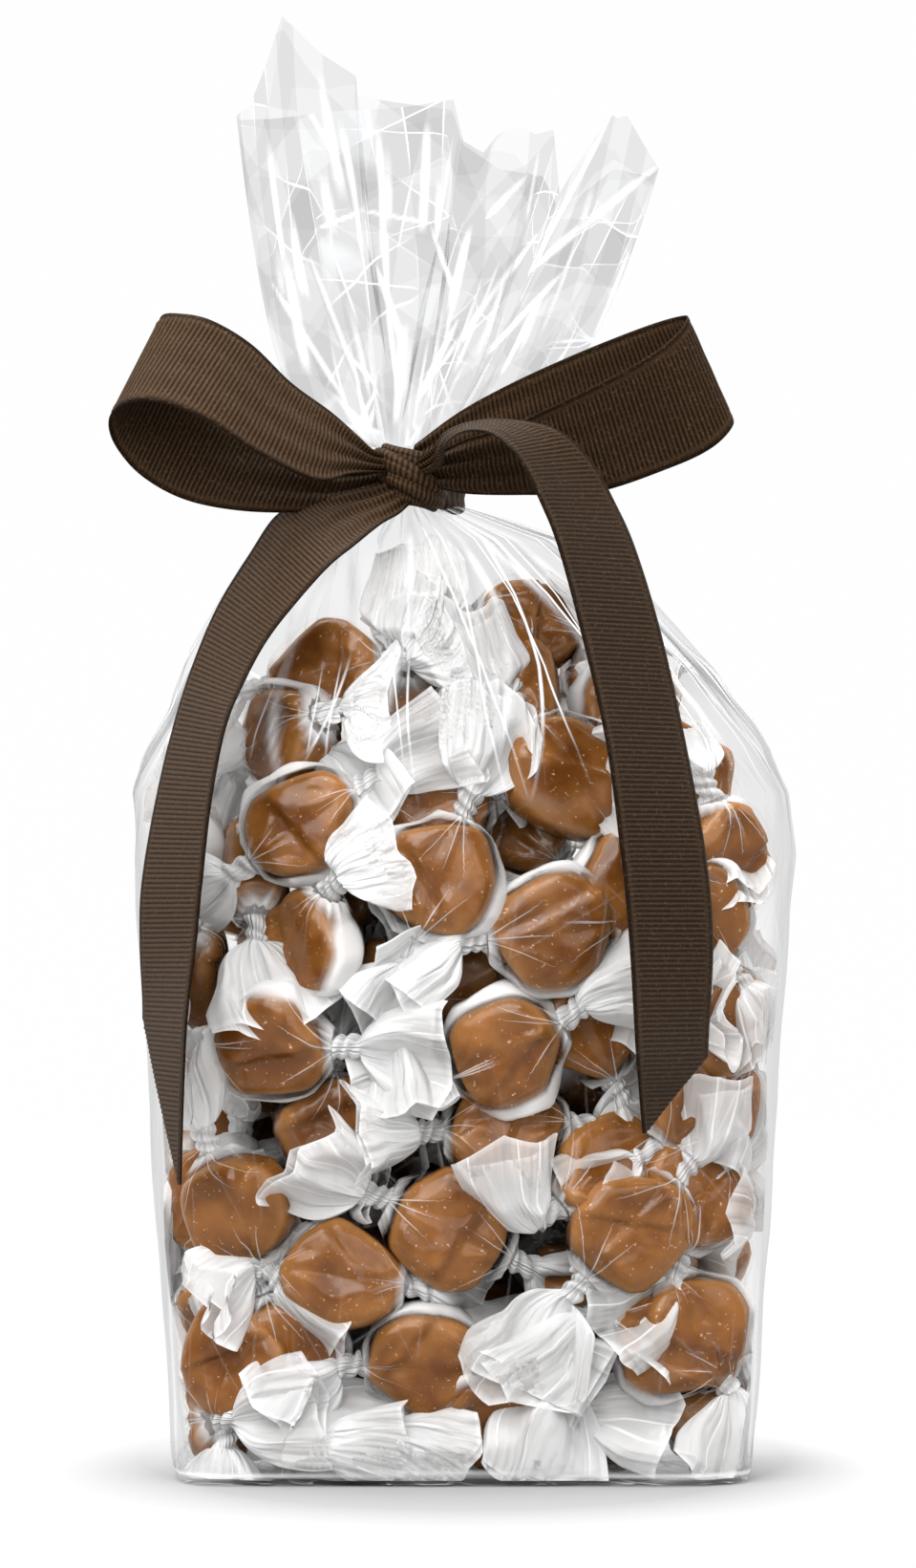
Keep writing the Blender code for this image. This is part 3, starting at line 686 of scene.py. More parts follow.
# ================================================================ the film bag
# One tube of thin clear film with folded sides and a flat folded base. Full, it stands as a rounded
# box. Its shoulders are drawn in by hand to the tie, which leaves straight creases in them; the white
# painted along them is highlight, partly stress whitening.

FILM_CREASES = np.radians((12, 31, 46, 58, 77, 96, 118, 133, 152, 171, 190, 206, 222, 241, 262, 281, 297, 313, 330, 349))


def film_body(rows, columns):
    """The bag up to the tie: the room's outline at each height, eased out by slow swells and facets.

    Towards the neck the radius also takes zigzag pleats, and at the twenty crease lines a thin ridge
    stands out. The white on the ridges, the side folds and the foot's facets is painted highlight, partly
    stress whitening; the white at the weld is the seal's own. Returns points and how white each one is.
    """
    rise = np.linspace(0, 1, rows)[:, None]
    z = NECK_TOP * (0.62 * rise + 0.38 * np.sin(rise * np.pi / 2)) ** 1.12
    turn = np.linspace(0, 2 * np.pi, columns, endpoint=False)[None]
    half_width, half_depth, middle, boxy = room_at(z)
    c, s = np.cos(turn), np.sin(turn)
    reach = (np.abs(c) ** boxy + np.abs(s) ** boxy) ** (-1 / boxy) * (1 + 0.012 * np.cos(2 * turn) ** 2)
    gather = np.clip((z - 148) / (NECK_TOP - 148), 0, 1)
    reach = reach * (1 + 0.10 * gather**1.2 * zigzag(13 * turn + 2 * np.sin(3 * turn)) + 0.03 * gather * zigzag(29 * turn))
    x, y = half_width * reach * c, half_depth * reach * s
    out = unit(np.stack([x / half_width**2, y / half_depth**2, 0 * x], -1))
    here = np.stack([x + middle, y, z + 0 * x], -1)
    swell = 0.5 * np.sin(here[..., 0] / 9 + 2) * np.cos(here[..., 2] / 11) + 0.5 * np.sin(here[..., 1] / 8) * np.cos(here[..., 2] / 8 + 1)
    facets = crumple(here, 26.0, 3)[..., 0] + 0.5 * crumple(here, 11.0, 4)[..., 0]
    shoulder = np.exp(-(((z - 172) / 30) ** 2))
    foot = np.exp(-((z / 9) ** 2))
    push = 0.35 * swell + (0.22 + 1.1 * shoulder * (1 - gather) + 0.5 * foot) * facets
    wander = FILM_CREASES[:, None, None] + 0.10 * np.sin(z / 17 + np.arange(20)[:, None, None])[...]
    near = np.abs((turn[None] - wander + np.pi) % (2 * np.pi) - np.pi) * np.maximum(half_width, 12)[None]
    ridge = np.exp(-((near / 0.9) ** 2)).max(0) * np.clip((z - 150) / 22, 0, 1) * np.clip((222 - z) / 12, 0, 1)
    push = push + 0.5 * ridge
    # painted highlight, partly stress whitening: white along the crease ridges and on the foot's facets
    white = 0.55 * ridge * (0.4 + 0.6 * np.clip(facets, 0, 1)) + 0.10 * foot * np.clip(facets, 0, 1)
    # painted highlight: a white line down each folded side
    side_fold = np.exp(-(((np.abs(here[..., 0]) - half_width + 1.5) / 1.0) ** 2)) * np.exp(-(((np.abs(y) - half_depth * 0.72) / 1.2) ** 2))
    points = here + out * push[..., None]
    points[0, :, 2] = 0.0
    # how strongly the crease lines are drawn white (painted highlight, partly stress whitening) and how much the
    # facets are darkened (painted shade)
    stress_and_glint = 0.04 + 0.58 * np.clip((z - 150) / 30, 0, 1) + 0.75 * foot * (np.abs(c) > 0.7) + 0.25 * (np.abs(c) > 0.82)
    stress_and_glint = stress_and_glint * np.clip(0.1 + 1.5 * crumple(here, 30.0, 6)[..., 1], 0, 1)
    # painted highlights: a bundle of white streaks on the right shoulder
    drawn = np.exp(-(((turn - np.radians(300)) / 0.42) ** 2)) * np.clip((z - 160) / 16, 0, 1) * np.clip((218 - z) / 12, 0, 1)
    stress_and_glint = np.maximum(stress_and_glint, 0.95 * np.clip(1.3 * drawn, 0, 1))
    size = half_width / 60 * (1 + 12 * np.clip((9 - z) / 3, 0, 1))
    straight = np.minimum(z, 150 + 0.22 * (z - 150))
    creases = [
        size * 3.4 * np.sin(17 * turn + 2.6 * np.sin(2 * turn) + 0.3 * np.sin(z / 12)),
        size * 5.2 * np.sin(9 * turn + straight / 13 + np.sin(3 * turn)),
        size * 6.2 * np.sin(7 * turn - straight / 10 + 1.4 * np.sin(2 * turn)),
    ]
    weld = 0.75 * np.exp(-(((z - 2.3 - 0.3 * np.sin(3 * turn)) / 0.4) ** 2))
    white = np.maximum(white, weld)
    return points, np.clip(white + 0.35 * side_fold - 0.01, 0, 1), np.clip(stress_and_glint, 0, 1), np.stack([c + 0 * turn for c in creases], -1)


def clear_film(name, tint, dull, amount, stress_shade, parts):
    """Clear film: see-through, shiny at a slant, with fine white lines along its creases.

    A point carries its distance in millimetres from the nearest crease of each of three families. The
    film is white within a quarter of a millimetre, as strongly as the stress number says: painted
    highlight, partly stress whitening. Each facet between creases lets a little more or less light
    through, from dull to tint, and stress darkens it: these greys are painted shade and reflection.
    """
    look, add, link = new_material(name)
    creases = add("ShaderNodeAttribute")
    creases.attribute_name = "creases"
    whiteness = add("ShaderNodeAttribute")
    whiteness.attribute_name = "white"
    stress_and_glint = add("ShaderNodeAttribute")
    stress_and_glint.attribute_name = "stress_and_glint"
    families = add("ShaderNodeSeparateXYZ")
    link(creases.outputs["Vector"], families.inputs[0])

    def worked(operation, first, second=None):
        node = add("ShaderNodeMath")
        node.operation = operation
        link(first, node.inputs[0])
        if second is not None:
            link(second, node.inputs[1])
        return node.outputs["Value"]

    nearest = worked("ABSOLUTE", families.outputs["X"])
    for axis in "YZ":
        nearest = worked("MINIMUM", nearest, worked("ABSOLUTE", families.outputs[axis]))
    line = grade(add, link, nearest, 0.07, 0.26, 1.0, 0.0)
    # painted shade and reflection: each facet between creases gets its own grey, from dull to tint
    sides = [grade(add, link, families.outputs[axis], -0.12, 0.12, 0.0, part) for axis, part in zip("XYZ", parts)]
    facet = worked("ADD", worked("ADD", sides[0], sides[1]), sides[2])
    # painted shade: stressed film is darkened towards dull
    facet = worked("SUBTRACT", grade(add, link, facet, 0.0, 1.0, stress_shade, 1.0), grade(add, link, stress_and_glint.outputs["Fac"], 0.0, 1.0, 0.0, stress_shade))
    total = worked("ADD", worked("MULTIPLY", line, stress_and_glint.outputs["Fac"]), whiteness.outputs["Fac"])
    gloss = add("ShaderNodeBsdfGlossy", Color=(1, 1, 1, 1), Roughness=amount)
    through = add("ShaderNodeBsdfTransparent")
    slant = add("ShaderNodeLayerWeight", Blend=0.5)
    aslant = grade(add, link, slant.outputs["Facing"], 0.5, 0.97, 0.0, 0.5)
    link(tint_towards(add, link, aslant, blend_colours(add, link, facet, dull, tint), (0.62, 0.62, 0.625)), through.inputs["Color"])
    steep = add("ShaderNodeMath")
    steep.operation = "POWER"
    steep.inputs[1].default_value = 6.0
    link(slant.outputs["Facing"], steep.inputs[0])
    shine = add("ShaderNodeMixShader")
    link(grade(add, link, steep.outputs["Value"], 0.03, 1.0, 0.0, 0.4), shine.inputs["Fac"])
    link(through.outputs["BSDF"], shine.inputs[1])
    link(gloss.outputs["BSDF"], shine.inputs[2])
    # the white lines and glints are drawn in this pale diffuse: painted highlights, partly stress whitening; the
    # weld's white is its own
    haze_and_glint = add("ShaderNodeBsdfDiffuse", Color=(0.955, 0.975, 1.0, 1))
    mixed = add("ShaderNodeMixShader")
    link(grade(add, link, total, 0.0, 1.0, 0.0, 0.88), mixed.inputs["Fac"])
    link(shine.outputs["Shader"], mixed.inputs[1])
    link(haze_and_glint.outputs["BSDF"], mixed.inputs[2])
    link(mixed.outputs["Shader"], add("ShaderNodeOutputMaterial").inputs["Surface"])
    return look


film_look = clear_film("clear_film", (0.98, 0.981, 0.982), (0.80, 0.80, 0.80), 0.10, 0.6, (0.12, 0.50, 0.38))

ROWS, COLUMNS = 240, 380
points, whiteness, stress_and_glint, creases = film_body(ROWS, COLUMNS)
faces = quads_of(1, ROWS, COLUMNS, True)
film_bag = make_piece("film_bag", points, faces, film_look, {"white": whiteness, "stress_and_glint": stress_and_glint, "creases": creases})
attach(film_bag, "root")
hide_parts("candy_bag")

# The base is the same film, folded flat in two layers and welded: a plain panel just inside the walls.
turn = np.linspace(0, 2 * np.pi, COLUMNS, endpoint=False)[None]
inward = np.linspace(1, 0, 14)[:, None]
base_points = np.stack([points[0, :, 0][None] * inward, points[0, :, 1][None] * inward, 0.25 + 0.5 * (1 - inward) ** 2 + 0 * turn], -1)
# painted highlight, partly stress whitening: a little white on some facets of the base
base_white = 0.03 + 0.25 * np.clip(crumple(base_points, 16.0, 12)[..., 0], 0, 1)
base_creases = 2.5 * crumple(base_points, 30.0, 15)
film_base = make_piece(
    "film_base",
    base_points,
    quads_of(1, 14, COLUMNS, True)[:, ::-1],
    film_look,
    {"white": base_white, "stress_and_glint": 0.4 + 0 * base_white, "creases": base_creases},
)
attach(film_base, "root")
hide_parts("candy_bag")

# ================================================================ the film above the tie
# The mouth of the same tube, bunched by the tie and left to spring open. It is cut straight but stands
# crumpled into a tall left leaf, a curled middle one and a long one that leans to the right.

# The mouth's rim, followed right round: the front from left to right, then the back from right to left.
MOUTH = np.array(
    (
        (-51.0, -2.0, 304.3),
        (-50.0, -8.0, 302.5),
        (-35.0, -14.0, 303.0),
        (-22.8, -17.0, 303.6),
        (-14.0, -13.0, 305.0),
        (-5.4, -12.0, 306.5),
        (-2.2, -9.0, 307.0),
        (0.0, -6.0, 298.0),
        (4.5, -9.0, 295.0),
        (7.5, -13.0, 298.5),
        (12.9, -16.0, 300.2),
        (16.0, -14.0, 298.8),
        (20.2, -10.0, 300.3),
        (21.0, -6.0, 292.0),
        (21.5, -8.0, 286.0),
        (27.0, -12.0, 295.0),
        (33.3, -14.0, 303.0),
        (34.6, -11.0, 302.6),
        (36.6, -9.0, 303.5),
        (40.0, -6.0, 298.0),
        (44.0, 0.0, 292.3),
        (42.0, 5.0, 291.0),
        (34.0, 9.0, 293.0),
        (27.0, 12.0, 288.0),
        (22.0, 14.0, 284.0),
        (18.0, 15.0, 292.0),
        (8.0, 13.0, 293.5),
        (0.0, 15.0, 299.0),
        (-2.5, 12.0, 306.8),
        (-12.0, 14.0, 308.5),
        (-24.6, 15.0, 310.3),
        (-24.3, 11.0, 314.0),
        (-32.0, 12.0, 319.5),
        (-41.0, 10.0, 327.8),
        (-44.8, 7.0, 316.0),
        (-48.4, 5.0, 306.6),
    )
)

# The long straight glints on the front of the flare, painted white into the film as highlights: x and
# height where each starts and ends, half its width, and how strong it is.
PAINTED_GLINTS = (
    (-43.4, 266.9, -26.4, 239.8, 0.9, 0.8),
    (-40.6, 315.0, -29.5, 295.0, 0.7, 0.7),
    (-34.4, 272.0, -23.0, 243.0, 0.8, 0.8),
    (-33.3, 277.6, -22.0, 281.9, 0.6, 0.8),
    (-23.0, 281.7, -7.3, 279.3, 0.6, 0.8),
    (-7.6, 279.6, -1.5, 262.0, 0.6, 0.8),
    (-19.6, 270.0, -12.6, 250.0, 1.0, 0.9),
    (-10.6, 238.8, -1.0, 258.0, 1.1, 0.9),
    (-7.3, 244.4, 16.5, 277.0, 1.0, 0.9),
    (15.0, 268.6, 43.6, 292.9, 1.3, 0.9),
    (14.5, 268.0, 33.0, 303.0, 0.8, 0.7),
    (2.0, 247.0, 24.0, 270.0, 0.9, 0.7),
    (5.0, 280.0, 14.5, 290.0, 1.0, 0.9),
    (14.0, 279.0, 17.0, 296.0, 0.6, 0.8),
)


def film_crown(rows, columns):
    """The flare: a ring at the tie joined to the mouth's rim by straight lines that bow outwards.

    At rise f a column has gone out by f^(1 - 0.74 s^2) on the left and f^(1 - 0.62 s^2) on the right,
    with s its share of the way to the side. Zigzags that run from the tie to the rim fold it: few and
    deep ones that grow with f, and many shallow ones that die away. A few slanting ones cross them.
    """
    f = np.linspace(0, 1, rows)[:, None]
    rim = np.vstack([MOUTH, MOUTH[:1]])
    length = np.concatenate([[0], np.cumsum(np.linalg.norm(np.diff(rim, axis=0), axis=1))])
    at = np.linspace(0, 1, columns, endpoint=False)[None]
    top_x, top_y, top_z = (np.interp(at * length[-1], length, rim[:, k]) for k in range(3))
    turn = np.pi + 2 * np.pi * at
    share = np.where(top_x < NECK_X, (NECK_X - top_x) / 39.2, (top_x - NECK_X) / 55.8)
    outward = f ** (1 - np.where(top_x < NECK_X, 0.74, 0.62) * share**2)
    x = (NECK_X + 7.8 * np.cos(turn)) * (1 - outward) + top_x * outward
    y = 7.8 * np.sin(turn) * (1 - f**0.8) + top_y * f**0.8
    z = NECK_TOP + (top_z - NECK_TOP) * f
    middle = 1 - share**6
    loose = np.sin(np.pi * f**0.8 * 0.85)
    white = 0.0 * x
    ways = np.random.default_rng(77)
    # folds round the mouth, cross slant, depth in millimetres, how fast they grow, how much they whiten (painted
    # highlight on the fold)
    for count, slant, depth, growth, whiten in (
        (7, 0.25, 3.6, 1.0, 0.3),
        (11, -0.5, 2.8, 0.9, 0.35),
        (17, 0.35, 1.5, 0.6, 0.4),
        (26, -0.2, 0.6, 0.4, 0.3),
        (5, 1.9, 1.6, 1.0, 0.4),
        (4, -2.3, 1.4, 1.0, 0.4),
    ):
        start, patch = ways.uniform(0, 2 * np.pi, 2)
        wave = 2 * np.pi * (count * at + slant * f) + start + 0.6 * np.sin(2 * np.pi * 3 * at + patch)
        swing = zigzag(wave) * f**growth * (1 - 0.45 * f) * middle * (1 - (count > 12) * f**4)
        y = y + depth * swing
        x = x + 0.55 * depth * zigzag(wave + 1.3) * loose * middle * (count > 6) * (1 - f**3)
        sharp = np.exp(-(((1 - np.abs(zigzag(wave))) / (0.0021 * count + 0.012)) ** 2))
        seen = np.clip(1.8 * zigzag(2 * np.pi * (0.21 * count * at + 1.1 * f) + patch) - 0.9, 0, 1)
        white = np.maximum(white, whiten * sharp * seen * np.clip(f * 12, 0, 1))
    # painted highlight: a little white in the fine pleats next to the tie
    tight = np.exp(-((f / 0.14) ** 2)) * (0.5 + 0.5 * zigzag(2 * np.pi * 33 * at))
    white = white + 0.07 * tight
    # straight white streaks that run out from the tie, painted highlights: place round the mouth, width, start, end,
    # strength
    for _ in range(44):
        place_at, width, first, last, strength = ways.uniform((0, 0.0026, 0.02, 0.12, 0.3), (1, 0.0062, 0.65, 0.40, 1.0))
        apart = np.abs(at - place_at - 0.012 * (f - first) * np.sin(40 * place_at))
        along = np.clip((f - first) / 0.06, 0, 1) * np.clip((first + last - f) / 0.12, 0, 1)
        white = np.maximum(white, strength * np.clip(1.4 - 1.4 * apart / width, 0, 1) * along)
    # where the white crease lines show: painted highlight, partly stress whitening
    stress_and_glint = np.clip(1.5 * zigzag(2 * np.pi * (3 * at + 0.8 * f)) * zigzag(2 * np.pi * (2 * at - 1.3 * f) + 1) - 0.1, 0, 0.75)
    # a flat facet of the left leaf, between two slanting folds, painted pale as the lamp's reflection
    from_left, from_right = x + 38.5 - 0.19 * (306 - z), -20.5 + 0.10 * (306 - z) - x
    painted_lamp_patch = np.clip(np.minimum(from_left, from_right) / 0.7, 0, 1) * np.clip((z - 254) / 20, 0, 1) * np.clip(305 - z, 0, 1)
    shards = 0.7 * zigzag(2 * np.pi * (9 * at + 1.2 * f)) + 0.5 * zigzag(2 * np.pi * (5 * at - 2.4 * f))
    white = white + (0.13 + 0.09 * np.clip(6 * shards, -1, 1)) * painted_lamp_patch * (y < 0)
    # painted highlights: each glint is painted white along its line, on the front sheet only
    for x_from, z_from, x_to, z_to, half, strength in PAINTED_GLINTS:
        run_x, run_z = x_to - x_from, z_to - z_from
        along = ((x - x_from) * run_x + (z - z_from) * run_z) / (run_x**2 + run_z**2)
        apart = np.abs((x - x_from) * run_z - (z - z_from) * run_x) / np.hypot(run_x, run_z)
        taper = np.clip(5 * along, 0, 1) * np.clip(5 * (1 - along), 0, 1)
        white = np.maximum(white, 0.8 * strength * np.clip(1.3 * (0.62 * half * taper - apart) / half + 0.4, 0, 1) * (taper > 0) * (y < 0))
    spread = 2.0 + 26 * f
    creases = [
        spread / 9 * np.sin(2 * np.pi * (17 * at + 0.7 * f) + 1.9 * np.sin(2 * np.pi * 2 * at)),
        spread / 6 * np.sin(2 * np.pi * (7 * at - 2.7 * f) + 1.2 * np.sin(2 * np.pi * 3 * at)),
        spread / 4 * np.sin(2 * np.pi * (4 * at + 3.3 * f) + 1.4 * np.sin(2 * np.pi * 2 * at + 2)),
    ]
    return np.stack([x, y, z], -1), np.clip(white - 0.01, 0, 1), stress_and_glint, np.stack(creases, -1)


crown_look = clear_film("crown_film", (0.972, 0.974, 0.978), (0.77, 0.767, 0.765), 0.07, 0.0, (0.42, 0.36, 0.22))
ROWS, COLUMNS = 120, 800
points, whiteness, stress_and_glint, creases = film_crown(ROWS, COLUMNS)
faces = quads_of(1, ROWS, COLUMNS, True)
crown = make_piece("film_crown", points, faces, crown_look, {"white": whiteness, "stress_and_glint": stress_and_glint, "creases": creases})
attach(crown, "root")
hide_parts("candy_bag")

# ================================================================ the ribbon
# One length of inch-wide brown grosgrain, wound round the neck, knotted and tied into two loops, with
# its ends cut on a slant. Ribs run straight across it and a fine woven edge runs down each side.

RIB = 1.08
RIBBON_WIDTH = 25.4
LOOP_LEFT = (
    ((-15.2, -18.5, 227.3), (-15.2, -18.5, 222.7)),
    ((-19.9, -21.5, 227.6), (-19.9, -23.5, 222.7)),
    ((-23.7, -24.5, 230.8), (-25.6, -29.5, 222.0)),
    ((-29.4, -28.0, 235.9), (-32.6, -37.0, 220.4)),
    ((-38.0, -32.0, 242.2), (-44.8, -44.0, 226.0)),
    ((-46.5, -35.5, 250.3), (-56.0, -47.5, 233.1)),
    ((-55.0, -37.0, 255.4), (-66.0, -47.0, 237.1)),
    ((-61.7, -36.5, 257.0), (-73.2, -44.5, 237.1)),
    ((-66.4, -34.5, 256.4), (-77.4, -39.5, 234.1)),
    ((-66.3, -30.5, 249.8), (-76.5, -34.5, 228.4)),
    ((-60.4, -26.0, 243.1), (-70.5, -32.0, 221.5)),
    ((-50.6, -22.0, 236.6), (-60.0, -30.0, 216.2)),
    ((-36.1, -20.0, 232.8), (-44.8, -28.0, 214.0)),
    ((-26.7, -19.0, 226.6), (-30.5, -23.0, 215.2)),
    ((-15.2, -16.5, 225.9), (-15.2, -16.5, 221.1)),
)
LOOP_RIGHT = (
    ((-10.8, -18.0, 227.3), (-10.8, -18.0, 220.5)),
    ((-6.0, -20.5, 227.6), (-6.0, -20.5, 219.6)),
    ((0.3, -25.0, 230.1), (1.3, -23.0, 218.1)),
    ((9.9, -29.5, 232.9), (13.3, -25.5, 217.8)),
    ((23.2, -34.0, 238.7), (29.1, -28.0, 218.3)),
    ((37.5, -36.5, 245.9), (45.3, -30.5, 223.5)),
    ((45.6, -35.0, 251.6), (54.8, -32.0, 228.0)),
    ((49.4, -32.0, 256.5), (59.5, -30.0, 233.3)),
    ((46.8, -29.0, 256.9), (57.0, -25.0, 236.1)),
    ((38.7, -27.5, 254.4), (47.0, -21.5, 232.9)),
    ((24.3, -25.0, 248.8), (30.7, -19.0, 227.2)),
    ((9.9, -22.0, 242.4), (13.8, -18.0, 222.9)),
    ((-0.7, -19.5, 236.6), (0.8, -17.5, 221.0)),
    ((-10.8, -15.5, 229.3), (-10.8, -15.5, 221.6)),
)
TAIL_LEFT = (
    ((-12.7, -18.0, 222.5), (-10.3, -19.0, 217.9)),
    ((-19.9, -20.0, 219.6), (-14.1, -24.0, 213.6)),
    ((-26.7, -21.0, 217.9), (-18.4, -28.5, 210.8)),
    ((-35.3, -22.5, 216.2), (-24.0, -35.5, 206.1)),
    ((-41.5, -23.0, 213.2), (-29.3, -41.0, 201.7)),
    ((-47.2, -24.4, 204.8), (-35.9, -44.6, 194.3)),
    ((-54.1, -26.9, 193.3), (-42.7, -48.1, 185.4)),
    ((-59.2, -29.5, 181.2), (-47.8, -51.5, 175.8)),
    ((-63.3, -32.3, 168.3), (-51.6, -54.7, 166.0)),
    ((-67.4, -35.0, 150.9), (-54.6, -57.0, 150.3)),
    ((-70.5, -36.9, 132.0), (-56.6, -58.1, 132.3)),
    ((-70.9, -36.6, 118.3), (-57.9, -58.4, 118.9)),
    ((-70.3, -36.0, 103.6), (-59.7, -59.0, 103.8)),
    ((-71.2, -33.5, 88.0), (-60.6, -56.5, 87.8)),
    ((-71.9, -31.0, 67.0), (-61.3, -54.0, 67.0)),
)
TAIL_RIGHT = (
    ((-10.8, -20.5, 225.7), (-10.8, -20.5, 221.9)),
    ((-6.6, -25.5, 228.7), (-5.7, -28.5, 224.0)),
    ((-2.6, -29.5, 232.2), (-4.5, -39.5, 228.4)),
    ((4.6, -34.5, 234.0), (-0.5, -49.5, 230.7)),
    ((13.1, -38.0, 233.4), (5.0, -56.0, 230.3)),
    ((21.2, -40.0, 231.0), (9.2, -60.0, 227.4)),
    ((27.9, -40.8, 224.7), (12.9, -61.2, 222.6)),
    ((33.2, -42.4, 215.2), (16.7, -61.6, 214.8)),
    ((37.6, -43.6, 205.1), (20.4, -62.4, 205.4)),
    ((42.9, -45.5, 187.4), (25.1, -63.5, 188.0)),
    ((48.3, -46.9, 163.4), (30.6, -65.1, 163.9)),
    ((52.6, -48.4, 139.4), (33.9, -65.6, 139.6)),
    ((54.3, -48.8, 119.7), (35.8, -66.2, 120.1)),
    ((53.3, -47.7, 96.1), (37.2, -67.3, 96.5)),
    ((54.2, -43.4, 85.6), (38.1, -63.0, 86.0)),
    ((54.9, -40.9, 78.1), (38.8, -60.5, 78.5)),
)


def through_stations(stations, rows):
    """A smooth run through the stations, each the ribbon's two edges: a Catmull-Rom curve, read evenly."""
    known = np.array(stations, float).reshape(len(stations), 6)
    known = np.vstack([2 * known[0] - known[1], known, 2 * known[-1] - known[-2]])
    at = np.linspace(0, len(stations) - 1, rows)
    i = np.minimum(at.astype(int), len(stations) - 2)
    t = (at - i)[:, None]
    a, b, c, d = (known[i + k] for k in range(4))
    return 0.5 * (2 * b + (c - a) * t + (2 * a - 5 * b + 4 * c - d) * t**2 + (3 * b - a - 3 * c + d) * t**3)


def ribbon_surface(stations, slant, columns=21):
    """The ribbed cloth between two edges, read every quarter of a millimetre along its middle.

    Each point is pushed along the cloth's normal by a cosine of its distance along the ribbon, one wave
    to a rib, which fades out over the woven edges. Where the two edges draw together the spare width
    goes into lengthways zigzag gathers. Over the last slant millimetres the cut takes the first edge
    across to the second.
    """
    coarse = through_stations(stations, 900)
    middle = (coarse[:, :3] + coarse[:, 3:]) / 2
    length = np.concatenate([[0], np.cumsum(np.linalg.norm(np.diff(middle, axis=0), axis=1))])
    rows = int(length[-1] / (RIB / 6)) + 1
    even = np.linspace(0, length[-1], rows)
    edges = np.stack([np.interp(even, length, coarse[:, k]) for k in range(6)], -1)
    taken = 0.96 * np.clip((even - length[-1] + slant) / max(slant, 1e-6), 0, 1)[:, None, None]
    across = 0.5 - 0.5 * np.cos(np.linspace(0, np.pi, columns))
    across = (0.5 * across + 0.5 * np.linspace(0, 1, columns))[None, :, None]
    across = taken + (1 - taken) * across
    points = edges[:, None, :3] * (1 - across) + edges[:, None, 3:] * across
    normal = unit(np.cross(np.gradient(points, axis=0), np.gradient(points, axis=1)))
    a = across[..., 0]
    width = np.linalg.norm(edges[:, :3] - edges[:, 3:], axis=1)[:, None]
    inset = np.minimum(a, 1 - a) * RIBBON_WIDTH
    body = np.clip((inset - 0.7) / 0.8, 0, 1)
    rib = 0.5 + 0.5 * np.cos(2 * np.pi * even[:, None] / RIB)
    stitch = np.exp(-(((inset - 1.5) / 0.35) ** 2)) * (0.5 + 0.5 * np.cos(2 * np.pi * even[:, None] / (RIB * 0.5)))
    bunch = np.clip(1 - width / RIBBON_WIDTH, 0, 1) ** 0.8
    height = 0.20 * rib * body + 0.12 * stitch + 0.08 * np.exp(-((inset / 0.35) ** 2))
    height = height + bunch * 1.1 * zigzag(2 * np.pi * 3.2 * a + 0.6 * np.sin(even[:, None] / 9))
    # painted shade in the grooves between ribs and painted light on the rib tops; the very edges are darkest, the
    # stitch dots lighter
    tone = np.maximum(rib**1.4 * body, 0.9 * stitch)
    return points + normal * height[..., None], tone, (RIBBON_WIDTH, length[-1])


ribbon_look, add, link = new_material("grosgrain")
rib = add("ShaderNodeAttribute")
rib.attribute_name = "rib"
spot = add("ShaderNodeTexCoord")
thread = add("ShaderNodeTexNoise", Scale=1500.0, Detail=3.0, Roughness=0.7)
link(spot.outputs["Object"], thread.inputs["Vector"])
# painted shade and light: the rib number runs the colour from near-black in the grooves to brown on the rib tops
tone = blend_colours(add, link, grade(add, link, rib.outputs["Fac"], 0.0, 1.0, 0.0, 1.0), (0.0045, 0.0021, 0.0008), (0.048, 0.0272, 0.0145))
# painted sheen: lighter specks from a fine noise, standing in for the speckled highlights on the threads
painted_speckle = add("ShaderNodeMix")
painted_speckle.data_type = "RGBA"
sockets = [s for s in painted_speckle.inputs if s.type == "RGBA"]
link(tone, sockets[0])
sockets[1].default_value = (0.13, 0.086, 0.054, 1)
link(grade(add, link, thread.outputs["Fac"], 0.56, 0.76, 0.0, 0.5), painted_speckle.inputs["Factor"])
cloth = add(
    "ShaderNodeBsdfPrincipled",
    Roughness=0.5,
    Specular_IOR_Level=0.09,
    Specular_Tint=(1.0, 0.66, 0.42, 1.0),
    Sheen_Weight=0.03,
    Sheen_Roughness=0.4,
    Sheen_Tint=(0.80, 0.62, 0.46, 1.0),
)
link(next(s for s in painted_speckle.outputs if s.type == "RGBA"), cloth.inputs["Base Color"])
bump = add("ShaderNodeBump", Strength=0.5, Distance=0.0002)
link(thread.outputs["Fac"], bump.inputs["Height"])
link(bump.outputs["Normal"], cloth.inputs["Normal"])
link(cloth.outputs["BSDF"], add("ShaderNodeOutputMaterial").inputs["Surface"])

for name, stations, held, slant in (
    ("loop_left", LOOP_LEFT, "gathered", 0.0),
    ("loop_right", LOOP_RIGHT, "gathered", 0.0),
    ("tail_left", TAIL_LEFT, "hung", 36.0),
    ("tail_right", TAIL_RIGHT, "hung", 18.0),
):
    points, ribs, flat = ribbon_surface(stations, slant)
    faces = quads_of(1, points.shape[0], points.shape[1], False)
    strip = make_piece(name, points, faces, ribbon_look, {"rib": ribs})
    wall = strip.modifiers.new("cloth", "SOLIDIFY")
    wall.thickness = 0.00042
    wall.offset = 0.0
    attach(strip, "root")
    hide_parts("ribbon_bow")

# The turn of the ribbon that grips the neck, bunched to less than half its width, and the knot: three
# crossings of the ribbon pulled tight over one another on a slant.


